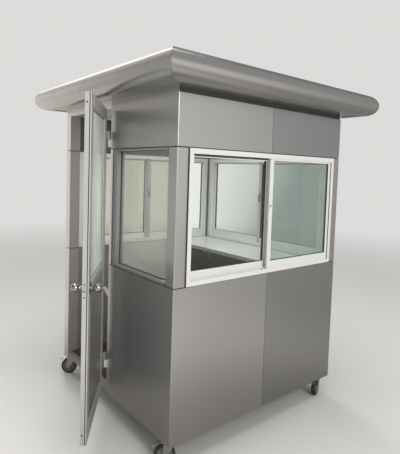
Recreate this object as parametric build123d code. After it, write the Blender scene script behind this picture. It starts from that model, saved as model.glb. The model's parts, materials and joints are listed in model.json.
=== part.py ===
from build123d import *
import os

# Security guard booth, square in plan, clad in grey metal panels and standing on four casters.
# Lengths are millimetres. While it is drawn, x runs along the front wall from the near left
# corner, y runs back along the left wall and z is height above the ground. The left wall holds
# the door. PLAN_ORIGIN is the point of that plan that becomes the origin of the written parts.

# Overall sizes
PLAN = 1530.0                   # outside of the cladding, both ways
WALL = 80.0                     # thickness of walls and corner posts
SKIRT_BOTTOM = 145.0            # lower edge of the cladding
SKIRT_SHEET = 4.0
CORNER_RADIUS = 4.0             # fold of the cladding at each corner
BAND_BOTTOM = 1063.0            # window band
BAND_TOP = 1847.0
WALL_TOP = 2145.0               # panels of the front and back walls
SOFFIT = 2178.0                 # underside of the eaves, and top of the side walls
JOINT_HEIGHT = 6.0              # open joint above and below the window band
JOINT_DEPTH = 8.0
SEAM_WIDTH = 5.0                # upright seam in the middle of a wall
PLAN_ORIGIN = (629.0, 765.0)

# Base and floor
BASE_BOTTOM = 153.0
BASE_TOP = 193.0
BASE_INSET = 5.0
BASE_RAIL = 60.0
JOIST_COUNT = 2
FLOOR_SHEET = 8.0
THRESHOLD_SHEET = 3.0
THRESHOLD_REACH = 40.0          # from the outer face of the left wall to the floor's edge

# Doorway in the left wall, and the leaf that closes it
DOORWAY_NEAR = 768.0
DOORWAY_FAR = PLAN - WALL
DOORWAY_HEAD = 2123.0
LEAF_NEAR = DOORWAY_NEAR + 4.0
LEAF_FAR = DOORWAY_FAR - 8.0
LEAF_BOTTOM = 202.0
LEAF_TOP = 2113.0
LEAF_THICK = 35.0
STILE = 80.0
TOP_RAIL = 75.0
BOTTOM_RAIL = 90.0
MID_RAIL_BOTTOM = 1032.0
MID_RAIL_TOP = 1090.0
DOOR_GLASS_THICK = 6.0
DOOR_PANEL_THICK = 20.0
DOOR_OPEN = 146.2               # how far the leaf stands open, in degrees

# Lift-off hinges
PIN_OUT = 14.0                  # pin axis in front of the left wall
PIN_PAST_JAMB = 2.0
PIN_RADIUS = 4.0
PIN_BORE = 4.3
PIN_LENGTH = 44.0
BARREL_RADIUS = 7.0
HINGE_HALF = 53.0
HINGE_GAP = 1.0
HINGE_LEAF_SHEET = 4.0
HINGE_WEB = 7.0
HINGE_WIDTH = 20.0
HINGE_BOTTOMS = (332.0, 1862.0)

# Door knob
KNOB_HEIGHT = 1067.0
KNOB_BACKSET = 42.0
KNOB_RADIUS = 26.0
KNOB_STANDOFF = 43.0            # face of the leaf to the ball's centre
KNOB_NECK = 11.0
KNOB_BORE = 12.0
ROSE_RADIUS = 31.0
ROSE_THICK = 6.0

# Sliding windows and the fixed side window
FRAME_PROUD = 10.0
FRAME_DEPTH = 80.0
FRAME_JAMB = 28.0
FRAME_HEAD = 28.0
FRAME_SILL = 26.0
SASH_THICK = 24.0
OUTER_SASH_FACE = -3.0
INNER_SASH_FACE = 27.0
MEETING_STILE = 35.0
JAMB_STILE = 28.0
SASH_BOTTOM_RAIL = 50.0
SASH_TOP_RAIL = 15.0
SASH_OVERLAP = 15.0             # each sash past the middle of the window
MITRE_GAP = 0.4
PANE_THICK = 5.0
SIDE_POST = 30.0                # metal post between the side window and the doorway
SIDE_FRAME_DEPTH = 60.0
SIDE_JAMB = 62.0
SIDE_SILL = 18.0
SIDE_HEAD = 12.0
SIDE_BEAD = 10.0                # bead on the near post, set back from the wall's face
SIDE_BEAD_FACE = 30.0
SIDE_PANE_FACE = 34.0

# Worktop
WORKTOP_DEPTH = 450.0
WORKTOP_THICK = 28.0

# Roof
OVERHANG = 195.0
NOSE_RADIUS = 78.0
NOSE_SHEET = 4.0
LIP_BACK = 85.0                 # inner edge of the fascia's lower lip, out from the wall
FLANGE_BACK = -20.0             # inner edge of the fascia's upper flange
SOFFIT_SHEET = 4.0
SOFFIT_EDGE = 110.0
RING_INSET = 15.0
CEILING_SHEET = 8.0
DECK_SHEET = 8.0

# Swivel casters
CASTER_INSET = 60.0
CASTER_PLATE = (94.0, 84.0, 4.0)
RACEWAY_RADIUS = 29.0
RACEWAY_BOTTOM = 141.0
KINGPIN_RADIUS = 8.0
KINGPIN_BORE = 8.3
KINGPIN_BOTTOM = 132.0
CROWN_RADIUS = 28.0
CROWN_TOP = 140.5
CROWN_SHOULDER = 135.5
CROWN_BOTTOM = 131.5
CASTER_TRAIL = 38.0
WHEEL_RADIUS = 62.5
WHEEL_WIDTH = 30.0
TYRE_ROUND = 6.0
HUB_RADIUS = 18.0
HUB_HALF = 19.5
AXLE_RADIUS = 6.0
AXLE_BORE = 6.3
AXLE_NUT_RADIUS = 9.0
AXLE_NUT_THICK = 6.0
FORK_HALF = 20.5
FORK_SHEET = 3.0
CROWN_BACK = -20.0              # ends of the crown's plate, out from the pivot along the trail
CROWN_FRONT = 46.0
LEG_WAIST = 17.0                # half the width of a fork leg beside the axle, and at its foot
LEG_FOOT = 10.0
LEG_FOOT_DROP = 14.0            # below the axle
LEG_TOE_DROP = 18.0
PEDAL_START = 40.0
PEDAL_KNEE = (80.0, 134.0)      # bend and tip of the brake pedal's upper face
PEDAL_TIP = (112.0, 112.0)
PEDAL_SHEET = 3.0
PEDAL_HALF = 14.0
# Direction of each caster's trail, in degrees from +x
CASTER_TURN = {
    "front_left": 150.0,
    "front_right": 200.0,
    "back_right": 160.0,
    "back_left": 138.0,
}

# How far a cutting shape runs past the faces that it cuts
PAST = 1.0

MIDDLE = PLAN / 2
SIDES = ("front", "right", "back", "left")


def block(x0, x1, y0, y1, z0, z1):
    centre = Pos((x0 + x1) / 2, (y0 + y1) / 2, (z0 + z1) / 2)
    return centre * Box(x1 - x0, y1 - y0, z1 - z0)


def pillar(x, y, z0, z1, radius):
    return Pos(x, y, (z0 + z1) / 2) * Cylinder(radius, z1 - z0)


def turned(shape, quarter_turns):
    """A shape of the front side, carried round to another side of the square."""
    return Pos(MIDDLE, MIDDLE, 0) * Rot(0, 0, 90 * quarter_turns) * Pos(-MIDDLE, -MIDDLE, 0) * shape


def square_ring(outer_inset, inner_inset, z0, z1, radius=0.0):
    """A square tube round the plan; the insets are counted in from the cladding's outer face."""
    outer_side = PLAN - 2 * outer_inset
    if radius:
        outline = RectangleRounded(outer_side, outer_side, radius)
    else:
        outline = Rectangle(outer_side, outer_side)
    outline -= Rectangle(PLAN - 2 * inner_inset, PLAN - 2 * inner_inset)
    return extrude(Pos(MIDDLE, MIDDLE, z0) * outline, amount=z1 - z0)


def side_wedge(quarter_turns):
    """All that belongs to one side, up to the mitres at its two corners."""
    reach = PLAN
    triangle = Polygon((0, 0), (-reach, -reach), (reach, -reach), align=None)
    prism = extrude(Pos(MIDDLE, MIDDLE, 0) * triangle, amount=SOFFIT + reach)
    return turned(prism, quarter_turns)


def solids_of(*shapes):
    """Separate solids that share one node."""
    found = []
    for shape in shapes:
        found += shape.solids()
    return Compound(children=found)


# Walls and posts

def wall_shell(z0, z1, skirt_bottom=None):
    shell = square_ring(0, WALL, z0, z1, CORNER_RADIUS)
    if skirt_bottom is not None:
        shell += square_ring(0, SKIRT_SHEET, skirt_bottom, z0, CORNER_RADIUS)
    return shell


def open_joint(z0):
    return square_ring(-PAST, JOINT_DEPTH, z0, z0 + JOINT_HEIGHT)


def middle_seam(z0, z1):
    return block(MIDDLE - SEAM_WIDTH / 2, MIDDLE + SEAM_WIDTH / 2, -PAST, JOINT_DEPTH, z0, z1)


def door_side_cut():
    """The doorway together with the corner post beyond it."""
    return block(-PAST, WALL, DOORWAY_NEAR, PLAN + PAST, 0, SOFFIT + PAST)


def walls(parts):
    lower = wall_shell(BASE_TOP, BAND_BOTTOM, SKIRT_BOTTOM)
    lower -= open_joint(BAND_BOTTOM - JOINT_HEIGHT)
    lower -= door_side_cut()
    upper = wall_shell(BAND_TOP, SOFFIT)
    upper -= open_joint(BAND_TOP)
    upper -= door_side_cut()
    for turn, side in enumerate(SIDES):
        wedge = side_wedge(turn)
        lower_wall = lower & wedge
        upper_wall = upper & wedge
        if side in ("front", "back"):
            upper_wall -= block(-PAST, PLAN + PAST, -PAST, PLAN + PAST, WALL_TOP, SOFFIT + PAST)
        if side != "left":
            lower_wall -= turned(middle_seam(SKIRT_BOTTOM - PAST, BAND_BOTTOM), turn)
            upper_wall -= turned(middle_seam(BAND_TOP, SOFFIT + PAST), turn)
        parts[side + "_lower_wall"] = lower_wall
        parts[side + "_upper_wall"] = upper_wall


def posts(parts):
    band = wall_shell(BAND_BOTTOM, BAND_TOP)
    corners = {"front_left_post": (0, 0), "front_right_post": (1, 0), "back_right_post": (1, 1)}
    for name, (right, back) in corners.items():
        x = right * (PLAN - WALL)
        y = back * (PLAN - WALL)
        parts[name] = band & block(x, x + WALL, y, y + WALL, BAND_BOTTOM, BAND_TOP)
    door_post = wall_shell(BASE_TOP, SOFFIT, SKIRT_BOTTOM)
    door_post -= open_joint(BAND_BOTTOM - JOINT_HEIGHT)
    door_post -= open_joint(BAND_TOP)
    door_post &= block(-PAST, WALL, DOORWAY_FAR, PLAN + PAST, 0, SOFFIT)
    parts["door_post"] = door_post
    parts["door_hinge_post"] = block(0, WALL, DOORWAY_NEAR - SIDE_POST, DOORWAY_NEAR,
                                     BAND_BOTTOM, BAND_TOP)
    parts["door_head"] = block(0, WALL, DOORWAY_NEAR, DOORWAY_FAR, DOORWAY_HEAD, SOFFIT)


# Base, floor and worktop

def base(parts):
    inner = BASE_INSET + BASE_RAIL
    frame = square_ring(BASE_INSET, inner, BASE_BOTTOM, BASE_TOP)
    for number in range(1, JOIST_COUNT + 1):
        y = inner + (PLAN - 2 * inner) * number / (JOIST_COUNT + 1)
        frame += block(inner, PLAN - inner, y - BASE_RAIL / 2, y + BASE_RAIL / 2, BASE_BOTTOM, BASE_TOP)
    parts["base_frame"] = frame
    floor_top = BASE_TOP + FLOOR_SHEET
    floor = block(WALL, PLAN - WALL, WALL, PLAN - WALL, BASE_TOP, floor_top)
    floor += block(THRESHOLD_REACH, WALL, DOORWAY_NEAR, DOORWAY_FAR, BASE_TOP, floor_top)
    parts["floor"] = floor
    parts["threshold"] = block(BASE_INSET, THRESHOLD_REACH, DOORWAY_NEAR, DOORWAY_FAR,
                               BASE_TOP, BASE_TOP + THRESHOLD_SHEET)
    inside = PLAN - WALL
    parts["worktop"] = block(inside - WORKTOP_DEPTH, inside, WALL, inside,
                             BAND_BOTTOM - WORKTOP_THICK, BAND_BOTTOM)


# Windows

def ring_of_bars(x0, x1, z0, z1, y0, y1, left, right, bottom, top):
    """Four bars round an opening: uprights full height, rails between them."""
    gap = MITRE_GAP
    return [
        block(x0, x0 + left, y0, y1, z0, z1),
        block(x1 - right, x1, y0, y1, z0, z1),
        block(x0 + left + gap, x1 - right - gap, y0, y1, z0, z0 + bottom),
        block(x0 + left + gap, x1 - right - gap, y0, y1, z1 - top, z1),
    ]


def sliding_window(parts, side):
    turn = SIDES.index(side)
    x0 = WALL
    x1 = PLAN - WALL
    frame = ring_of_bars(x0, x1, BAND_BOTTOM, BAND_TOP, -FRAME_PROUD, FRAME_DEPTH - FRAME_PROUD,
                         FRAME_JAMB, FRAME_JAMB, FRAME_SILL, FRAME_HEAD)
    z0 = BAND_BOTTOM + FRAME_SILL
    z1 = BAND_TOP - FRAME_HEAD
    spans = (
        (MIDDLE - SASH_OVERLAP, x1 - FRAME_JAMB, OUTER_SASH_FACE, MEETING_STILE, JAMB_STILE),
        (x0 + FRAME_JAMB, MIDDLE + SASH_OVERLAP, INNER_SASH_FACE, JAMB_STILE, MEETING_STILE),
    )
    sashes = []
    panes = []
    for left, right, face, left_stile, right_stile in spans:
        sashes += ring_of_bars(left, right, z0, z1, face, face + SASH_THICK,
                               left_stile, right_stile, SASH_BOTTOM_RAIL, SASH_TOP_RAIL)
        glass_face = face + (SASH_THICK - PANE_THICK) / 2
        panes.append(block(left + left_stile, right - right_stile, glass_face, glass_face + PANE_THICK,
                           z0 + SASH_BOTTOM_RAIL, z1 - SASH_TOP_RAIL))
    parts[side + "_window_frame"] = turned(solids_of(*frame), turn)
    parts[side + "_window_sashes"] = turned(solids_of(*sashes), turn)
    parts[side + "_window_panes"] = turned(solids_of(*panes), turn)


def fixed_window(parts):
    y0 = WALL
    y1 = DOORWAY_NEAR - SIDE_POST
    gap = MITRE_GAP
    sill_top = BAND_BOTTOM + SIDE_SILL
    head_bottom = BAND_TOP - SIDE_HEAD
    depth = SIDE_FRAME_DEPTH
    bars = (
        block(0, depth, y1 - SIDE_JAMB, y1, BAND_BOTTOM, BAND_TOP),
        block(SIDE_BEAD_FACE, depth, y0, y0 + SIDE_BEAD, BAND_BOTTOM, BAND_TOP),
        block(0, depth, y0 + SIDE_BEAD + gap, y1 - SIDE_JAMB - gap, BAND_BOTTOM, sill_top),
        block(0, depth, y0 + SIDE_BEAD + gap, y1 - SIDE_JAMB - gap, head_bottom, BAND_TOP),
    )
    parts["left_window_frame"] = solids_of(*bars)
    parts["left_window_pane"] = block(SIDE_PANE_FACE, SIDE_PANE_FACE + PANE_THICK,
                                      y0 + SIDE_BEAD, y1 - SIDE_JAMB, sill_top, head_bottom)


# Roof

def fascia_profile():
    """Section of the half-round fascia, as points out from the front wall (-y) and up."""
    low = SOFFIT - NOSE_SHEET
    centre_out = OVERHANG - NOSE_RADIUS
    high = low + 2 * NOSE_RADIUS
    middle = low + NOSE_RADIUS
    inner = NOSE_RADIUS - NOSE_SHEET
    outline = [
        Line((LIP_BACK, low), (centre_out, low)),
        ThreePointArc((centre_out, low), (OVERHANG, middle), (centre_out, high)),
        Line((centre_out, high), (FLANGE_BACK, high)),
        Line((FLANGE_BACK, high), (FLANGE_BACK, high - NOSE_SHEET)),
        Line((FLANGE_BACK, high - NOSE_SHEET), (centre_out, high - NOSE_SHEET)),
        ThreePointArc((centre_out, high - NOSE_SHEET), (centre_out + inner, middle),
                      (centre_out, low + NOSE_SHEET)),
        Line((centre_out, low + NOSE_SHEET), (LIP_BACK, low + NOSE_SHEET)),
        Line((LIP_BACK, low + NOSE_SHEET), (LIP_BACK, low)),
    ]
    return make_face(Curve() + outline)


def roof(parts):
    nose_top = SOFFIT - NOSE_SHEET + 2 * NOSE_RADIUS
    deck_top = nose_top - NOSE_SHEET
    deck_bottom = deck_top - DECK_SHEET
    reach = OVERHANG + CORNER_RADIUS
    section_plane = Plane(origin=(-reach, 0, 0), x_dir=(0, -1, 0), z_dir=(-1, 0, 0))
    front_fascia = extrude(section_plane * fascia_profile(), amount=PLAN + 2 * reach, dir=(1, 0, 0))
    front_fascia &= side_wedge(0)
    for turn, side in enumerate(SIDES):
        parts[side + "_fascia"] = turned(front_fascia, turn)
    parts["soffit"] = square_ring(-SOFFIT_EDGE, RING_INSET, SOFFIT, SOFFIT + SOFFIT_SHEET)
    ring = square_ring(RING_INSET, WALL, SOFFIT, deck_bottom)
    strips = square_ring(RING_INSET, WALL, WALL_TOP, SOFFIT) & (side_wedge(0) + side_wedge(2))
    strips -= block(-PAST, WALL, DOORWAY_NEAR, PLAN + PAST, WALL_TOP, SOFFIT)
    parts["roof_frame"] = ring + strips
    parts["roof_deck"] = block(0, PLAN, 0, PLAN, deck_bottom, deck_top)
    parts["ceiling"] = block(WALL, PLAN - WALL, WALL, PLAN - WALL, WALL_TOP, WALL_TOP + CEILING_SHEET)


# Door, drawn closed and then swung open

def swung(shape):
    pin = (-PIN_OUT, DOORWAY_NEAR + PIN_PAST_JAMB)
    return Pos(pin[0], pin[1], 0) * Rot(0, 0, DOOR_OPEN) * Pos(-pin[0], -pin[1], 0) * shape


def door(parts):
    knob_y = LEAF_FAR - KNOB_BACKSET
    frame = block(0, LEAF_THICK, LEAF_NEAR, LEAF_FAR, LEAF_BOTTOM, LEAF_TOP)
    y0 = LEAF_NEAR + STILE
    y1 = LEAF_FAR - STILE
    panel_bottom = LEAF_BOTTOM + BOTTOM_RAIL
    glass_top = LEAF_TOP - TOP_RAIL
    frame -= block(-PAST, LEAF_THICK + PAST, y0, y1, panel_bottom, MID_RAIL_BOTTOM)
    frame -= block(-PAST, LEAF_THICK + PAST, y0, y1, MID_RAIL_TOP, glass_top)
    knob_axis = Pos(0, knob_y, KNOB_HEIGHT) * Rot(0, 90, 0)
    frame -= knob_axis * Cylinder(KNOB_BORE, 3 * LEAF_THICK)
    parts["door_frame"] = swung(frame)

    middle = LEAF_THICK / 2
    half_glass = DOOR_GLASS_THICK / 2
    half_panel = DOOR_PANEL_THICK / 2
    parts["door_glass"] = swung(block(middle - half_glass, middle + half_glass, y0, y1,
                                      MID_RAIL_TOP, glass_top))
    parts["door_panel"] = swung(block(middle - half_panel, middle + half_panel, y0, y1,
                                      panel_bottom, MID_RAIL_BOTTOM))

    # Along the knob's axis, z runs inwards from the leaf's outer face
    roses = []
    for z0 in (-ROSE_THICK, LEAF_THICK):
        rose = Cylinder(ROSE_RADIUS, ROSE_THICK) - Cylinder(KNOB_BORE, 2 * ROSE_THICK)
        roses.append(knob_axis * Pos(0, 0, z0 + ROSE_THICK / 2) * rose)
    parts["door_roses"] = swung(solids_of(*roses))
    outer_ball = -KNOB_STANDOFF
    inner_ball = LEAF_THICK + KNOB_STANDOFF
    knobs = Pos(0, 0, (outer_ball + inner_ball) / 2) * Cylinder(KNOB_NECK, inner_ball - outer_ball)
    for z in (outer_ball, inner_ball):
        knobs += Pos(0, 0, z) * Sphere(KNOB_RADIUS)
    parts["door_knobs"] = swung(knob_axis * knobs)


def hinges(parts):
    pin_x = -PIN_OUT
    pin_y = DOORWAY_NEAR + PIN_PAST_JAMB
    jamb_halves = []
    leaf_halves = []
    for bottom in HINGE_BOTTOMS:
        top = bottom + HINGE_HALF
        jamb = pillar(pin_x, pin_y, bottom, top, BARREL_RADIUS)
        jamb += block(pin_x, 0, pin_y - HINGE_WEB, pin_y, bottom, top)
        jamb += block(-HINGE_LEAF_SHEET, 0, DOORWAY_NEAR - HINGE_WIDTH, pin_y, bottom, top)
        jamb += pillar(pin_x, pin_y, bottom, top + PIN_LENGTH, PIN_RADIUS)
        jamb_halves.append(jamb)
        z0 = top + HINGE_GAP
        z1 = z0 + HINGE_HALF
        leaf = pillar(pin_x, pin_y, z0, z1, BARREL_RADIUS)
        leaf += block(pin_x, 0, LEAF_NEAR, LEAF_NEAR + HINGE_WEB, z0, z1)
        leaf += block(-HINGE_LEAF_SHEET, 0, LEAF_NEAR, LEAF_NEAR + HINGE_WIDTH, z0, z1)
        leaf -= pillar(pin_x, pin_y, z0 - PAST, z0 + PIN_LENGTH + PAST, PIN_BORE)
        leaf_halves.append(leaf)
    parts["hinge_jamb_halves"] = solids_of(*jamb_halves)
    parts["hinge_leaf_halves"] = swung(solids_of(*leaf_halves))


# Casters, drawn round a pivot at x = y = 0 with the trail along +x

def caster_plate():
    length, width, thick = CASTER_PLATE
    plate = block(-length / 2, length / 2, -width / 2, width / 2, BASE_BOTTOM - thick, BASE_BOTTOM)
    plate += pillar(0, 0, RACEWAY_BOTTOM, BASE_BOTTOM - thick, RACEWAY_RADIUS)
    plate += pillar(0, 0, KINGPIN_BOTTOM, BASE_BOTTOM - thick, KINGPIN_RADIUS)
    return plate


def across(shape, length):
    """A plan outline drawn as (x, z) points, made into a plate of that length across the fork."""
    return extrude(Plane.XZ * shape, amount=length / 2, both=True)


def caster_fork():
    foot = WHEEL_RADIUS - LEG_FOOT_DROP
    leg_outline = Polygon(
        (CROWN_BACK, CROWN_SHOULDER), (CROWN_FRONT, CROWN_SHOULDER),
        (CASTER_TRAIL + LEG_WAIST, WHEEL_RADIUS), (CASTER_TRAIL + LEG_FOOT, foot),
        (CASTER_TRAIL, WHEEL_RADIUS - LEG_TOE_DROP),
        (CASTER_TRAIL - LEG_FOOT, foot), (CASTER_TRAIL - LEG_WAIST, WHEEL_RADIUS), align=None)
    knee_x, knee_z = PEDAL_KNEE
    tip_x, tip_z = PEDAL_TIP
    pedal_outline = Polygon(
        (PEDAL_START, CROWN_SHOULDER), (knee_x, knee_z), (tip_x, tip_z),
        (tip_x - PEDAL_SHEET, tip_z - PEDAL_SHEET), (knee_x, knee_z - PEDAL_SHEET),
        (PEDAL_START, CROWN_BOTTOM), align=None)
    outer_half = FORK_HALF + FORK_SHEET
    fork = across(leg_outline, 2 * outer_half) - across(leg_outline, 2 * FORK_HALF)
    fork += block(CROWN_BACK, CROWN_FRONT, -outer_half, outer_half, CROWN_BOTTOM, CROWN_SHOULDER)
    fork += pillar(0, 0, CROWN_BOTTOM, CROWN_TOP, CROWN_RADIUS)
    fork -= pillar(0, 0, CROWN_BOTTOM - PAST, CROWN_TOP + PAST, KINGPIN_BORE)
    fork += across(pedal_outline, 2 * PEDAL_HALF)
    axle_line = Pos(CASTER_TRAIL, 0, WHEEL_RADIUS) * Rot(90, 0, 0)
    fork += axle_line * Cylinder(AXLE_RADIUS, 2 * outer_half)
    for way in (-1, 1):
        nut_middle = way * (outer_half + AXLE_NUT_THICK / 2)
        fork += axle_line * Pos(0, 0, nut_middle) * Cylinder(AXLE_NUT_RADIUS, AXLE_NUT_THICK)
    return fork


def caster_wheel():
    tyre = Cylinder(WHEEL_RADIUS, WHEEL_WIDTH)
    tyre = fillet(tyre.edges().filter_by(GeomType.CIRCLE), TYRE_ROUND)
    wheel = tyre + Cylinder(HUB_RADIUS, 2 * HUB_HALF)
    wheel -= Cylinder(AXLE_BORE, 4 * HUB_HALF)
    return Pos(CASTER_TRAIL, 0, WHEEL_RADIUS) * Rot(90, 0, 0) * wheel


def casters(parts):
    near = CASTER_INSET
    far = PLAN - CASTER_INSET
    pivots = {
        "front_left": (near, near),
        "front_right": (far, near),
        "back_right": (far, far),
        "back_left": (near, far),
    }
    plates = []
    for corner, (x, y) in pivots.items():
        plates.append(Pos(x, y, 0) * caster_plate())
        place = Pos(x, y, 0) * Rot(0, 0, CASTER_TURN[corner])
        parts["caster_fork_" + corner] = place * caster_fork()
        parts["caster_wheel_" + corner] = place * caster_wheel()
    parts["caster_plates"] = solids_of(*plates)


def build():
    parts = {}
    base(parts)
    walls(parts)
    posts(parts)
    for side in ("front", "right", "back"):
        sliding_window(parts, side)
    fixed_window(parts)
    roof(parts)
    door(parts)
    hinges(parts)
    casters(parts)
    to_origin = Pos(-PLAN_ORIGIN[0], -PLAN_ORIGIN[1], 0)
    return {name: to_origin * shape for name, shape in parts.items()}


os.makedirs("parts", exist_ok=True)
for part_name, part_shape in build().items():
    export_step(part_shape, "parts/" + part_name + ".step")
    print(part_name, round(part_shape.volume / 1e6, 3), "litres")
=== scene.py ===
import json
import math

import bmesh
import bpy
from mathutils import Matrix, Vector


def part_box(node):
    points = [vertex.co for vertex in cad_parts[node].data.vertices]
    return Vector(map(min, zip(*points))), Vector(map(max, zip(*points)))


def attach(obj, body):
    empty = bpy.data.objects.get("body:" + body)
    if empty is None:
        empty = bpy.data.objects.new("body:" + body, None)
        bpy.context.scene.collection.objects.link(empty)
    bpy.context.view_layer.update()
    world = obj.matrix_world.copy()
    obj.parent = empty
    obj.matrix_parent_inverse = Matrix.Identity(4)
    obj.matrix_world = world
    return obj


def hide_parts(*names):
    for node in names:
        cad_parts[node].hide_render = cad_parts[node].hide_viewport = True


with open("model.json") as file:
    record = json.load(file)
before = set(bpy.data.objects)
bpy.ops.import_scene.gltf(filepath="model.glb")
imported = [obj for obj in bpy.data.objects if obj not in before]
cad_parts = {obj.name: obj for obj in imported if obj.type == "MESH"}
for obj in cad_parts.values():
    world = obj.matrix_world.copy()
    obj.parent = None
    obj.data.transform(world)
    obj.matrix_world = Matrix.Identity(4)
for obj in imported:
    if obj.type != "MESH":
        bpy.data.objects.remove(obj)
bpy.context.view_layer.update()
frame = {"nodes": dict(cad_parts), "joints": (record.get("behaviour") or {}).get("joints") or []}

# Sizes, in metres. The booth is square, and each side is drawn as if it were the front: along the
# wall from its left end, then into the wall, then up.
SIDES = ("front", "right", "back", "left")
MM = 0.001
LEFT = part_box("left_lower_wall")[0].x
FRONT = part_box("front_lower_wall")[0].y
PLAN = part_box("right_lower_wall")[1].x - LEFT
MIDDLE = PLAN / 2
SKIRT_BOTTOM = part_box("front_lower_wall")[0].z
BAND_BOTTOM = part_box("front_window_frame")[0].z
BAND_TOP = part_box("front_window_frame")[1].z
FRONT_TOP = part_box("front_upper_wall")[1].z
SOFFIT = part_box("left_upper_wall")[1].z
BASE_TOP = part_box("base_frame")[1].z
BASE_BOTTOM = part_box("base_frame")[0].z
WORKTOP_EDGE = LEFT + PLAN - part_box("worktop")[0].x
DOORWAY_BOARD = 1070 * MM
WALL = 80 * MM
SHEET = 8 * MM
SKIRT_SHEET = 4 * MM
FOLD = 6 * MM
SEAM = 2.2 * MM
OPEN_JOINT = 6 * MM
EASE = 1.2 * MM

# The doorway in the left wall, measured back from the near corner, and its leaf
DOORWAY_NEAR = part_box("door_hinge_post")[1].y - FRONT
DOORWAY_FAR = PLAN - WALL
DOORWAY_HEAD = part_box("door_head")[0].z
WINDOW_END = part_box("left_window_frame")[1].y - FRONT
LEAF_NEAR = DOORWAY_NEAR + 4 * MM
LEAF_WIDTH = DOORWAY_FAR - 8 * MM - LEAF_NEAR
LEAF_THICK = 35 * MM
LEAF_BOTTOM, LEAF_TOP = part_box("door_frame")[0].z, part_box("door_frame")[1].z
STILE = 80 * MM
TOP_RAIL = 75 * MM
BOTTOM_RAIL = 90 * MM
MID_RAIL = (1032 * MM, 1090 * MM)
EDGE_GROOVE = (6.5 * MM, 11.5 * MM)
KNOB_BACKSET = 42 * MM
KNOB_HEIGHT = 1067 * MM

# Sliding windows
FRAME_PROUD = 10 * MM
FRAME_DEPTH = 80 * MM
FRAME_BAR = 28 * MM
FRAME_SILL = 26 * MM
SASH_THICK = 24 * MM
OUTER_SASH = -3 * MM
INNER_SASH = 27 * MM
MEETING_STILE = 35 * MM
JAMB_STILE = 28 * MM
SASH_BOTTOM = 50 * MM
SASH_TOP = 15 * MM
SASH_OVERLAP = 15 * MM
PANE_THICK = 5 * MM
LATCH_HEIGHT = 1505 * MM

SHARP = math.radians(33)
QUARTER = math.pi / 2
HERE = Matrix.Identity(4)
FLIP = Matrix.Diagonal((1, -1, 1, 1))

# Ways in a side's own plan
ALONG = (1, 0, 0)
INTO = (0, 1, 0)
OUT = (0, -1, 0)
UP = (0, 0, 1)
DOWN = (0, 0, -1)


def mm(*points):
    """Points written in millimetres."""
    return [tuple(value * MM for value in point) for point in points]


def shift(along=0.0, into=0.0, up=0.0):
    """Moves what is drawn."""
    return Matrix.Translation((along, into, up))


def spin(angle, axis):
    """Turns what is drawn about an axis through its origin."""
    return Matrix.Rotation(angle, 4, axis)


def standing(foot, axis, place=HERE):
    """Carries what is drawn upright to a foot, along an axis."""
    lean = Vector(UP).rotation_difference(Vector(axis))
    return place @ Matrix.Translation(foot) @ lean.to_matrix().to_4x4()


def quarter_turns(number, place=HERE):
    """Turns what is drawn about the middle of the square."""
    return place @ shift(MIDDLE, MIDDLE) @ spin(QUARTER * number, "Z") @ shift(-MIDDLE, -MIDDLE)


BOOTH = shift(LEFT, FRONT)


def side_place(side):
    """Carries what is drawn for the front to one side of the square."""
    return quarter_turns(SIDES.index(side), BOOTH)


hinge = next(j for j in frame["joints"] if j["name"] == "door_hinge")
hinge_pin = Vector(hinge["pos_m"])
DOOR_OPEN = -math.radians(hinge["range_deg"][0])
# The leaf is drawn closed: x in from its outer face, y back from its hinge edge
LEAF = (shift(hinge_pin.x, hinge_pin.y) @ spin(DOOR_OPEN, "Z") @ shift(-hinge_pin.x, -hinge_pin.y)
        @ shift(LEFT, FRONT + LEAF_NEAR))


class Level:
    """A number or colour that a shader works out over a surface."""

    def __init__(self, finish, socket):
        self.finish = finish
        self.socket = socket

    def sum(self, how, *terms):
        """The level that a Math node makes of two terms."""
        return self.finish.node("ShaderNodeMath", {"operation": how}, dict(enumerate(terms)))

    def __add__(self, other):
        return self.sum("ADD", self, other)

    def __sub__(self, other):
        return self.sum("SUBTRACT", self, other)

    def __rsub__(self, other):
        return self.sum("SUBTRACT", other, self)

    def __mul__(self, other):
        return self.sum("MULTIPLY", self, other)

    def __truediv__(self, other):
        return self.sum("DIVIDE", self, other)

    __radd__ = __add__
    __rmul__ = __mul__

    def above(self, limit):
        """1 where the level is over a limit, else 0."""
        return self.sum("GREATER_THAN", self, limit)

    def within(self, low, high):
        """How far the level is from low to high, from 0 to 1."""
        return self.finish.node("ShaderNodeMapRange", None, {0: self, 1: low, 2: high})


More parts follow.
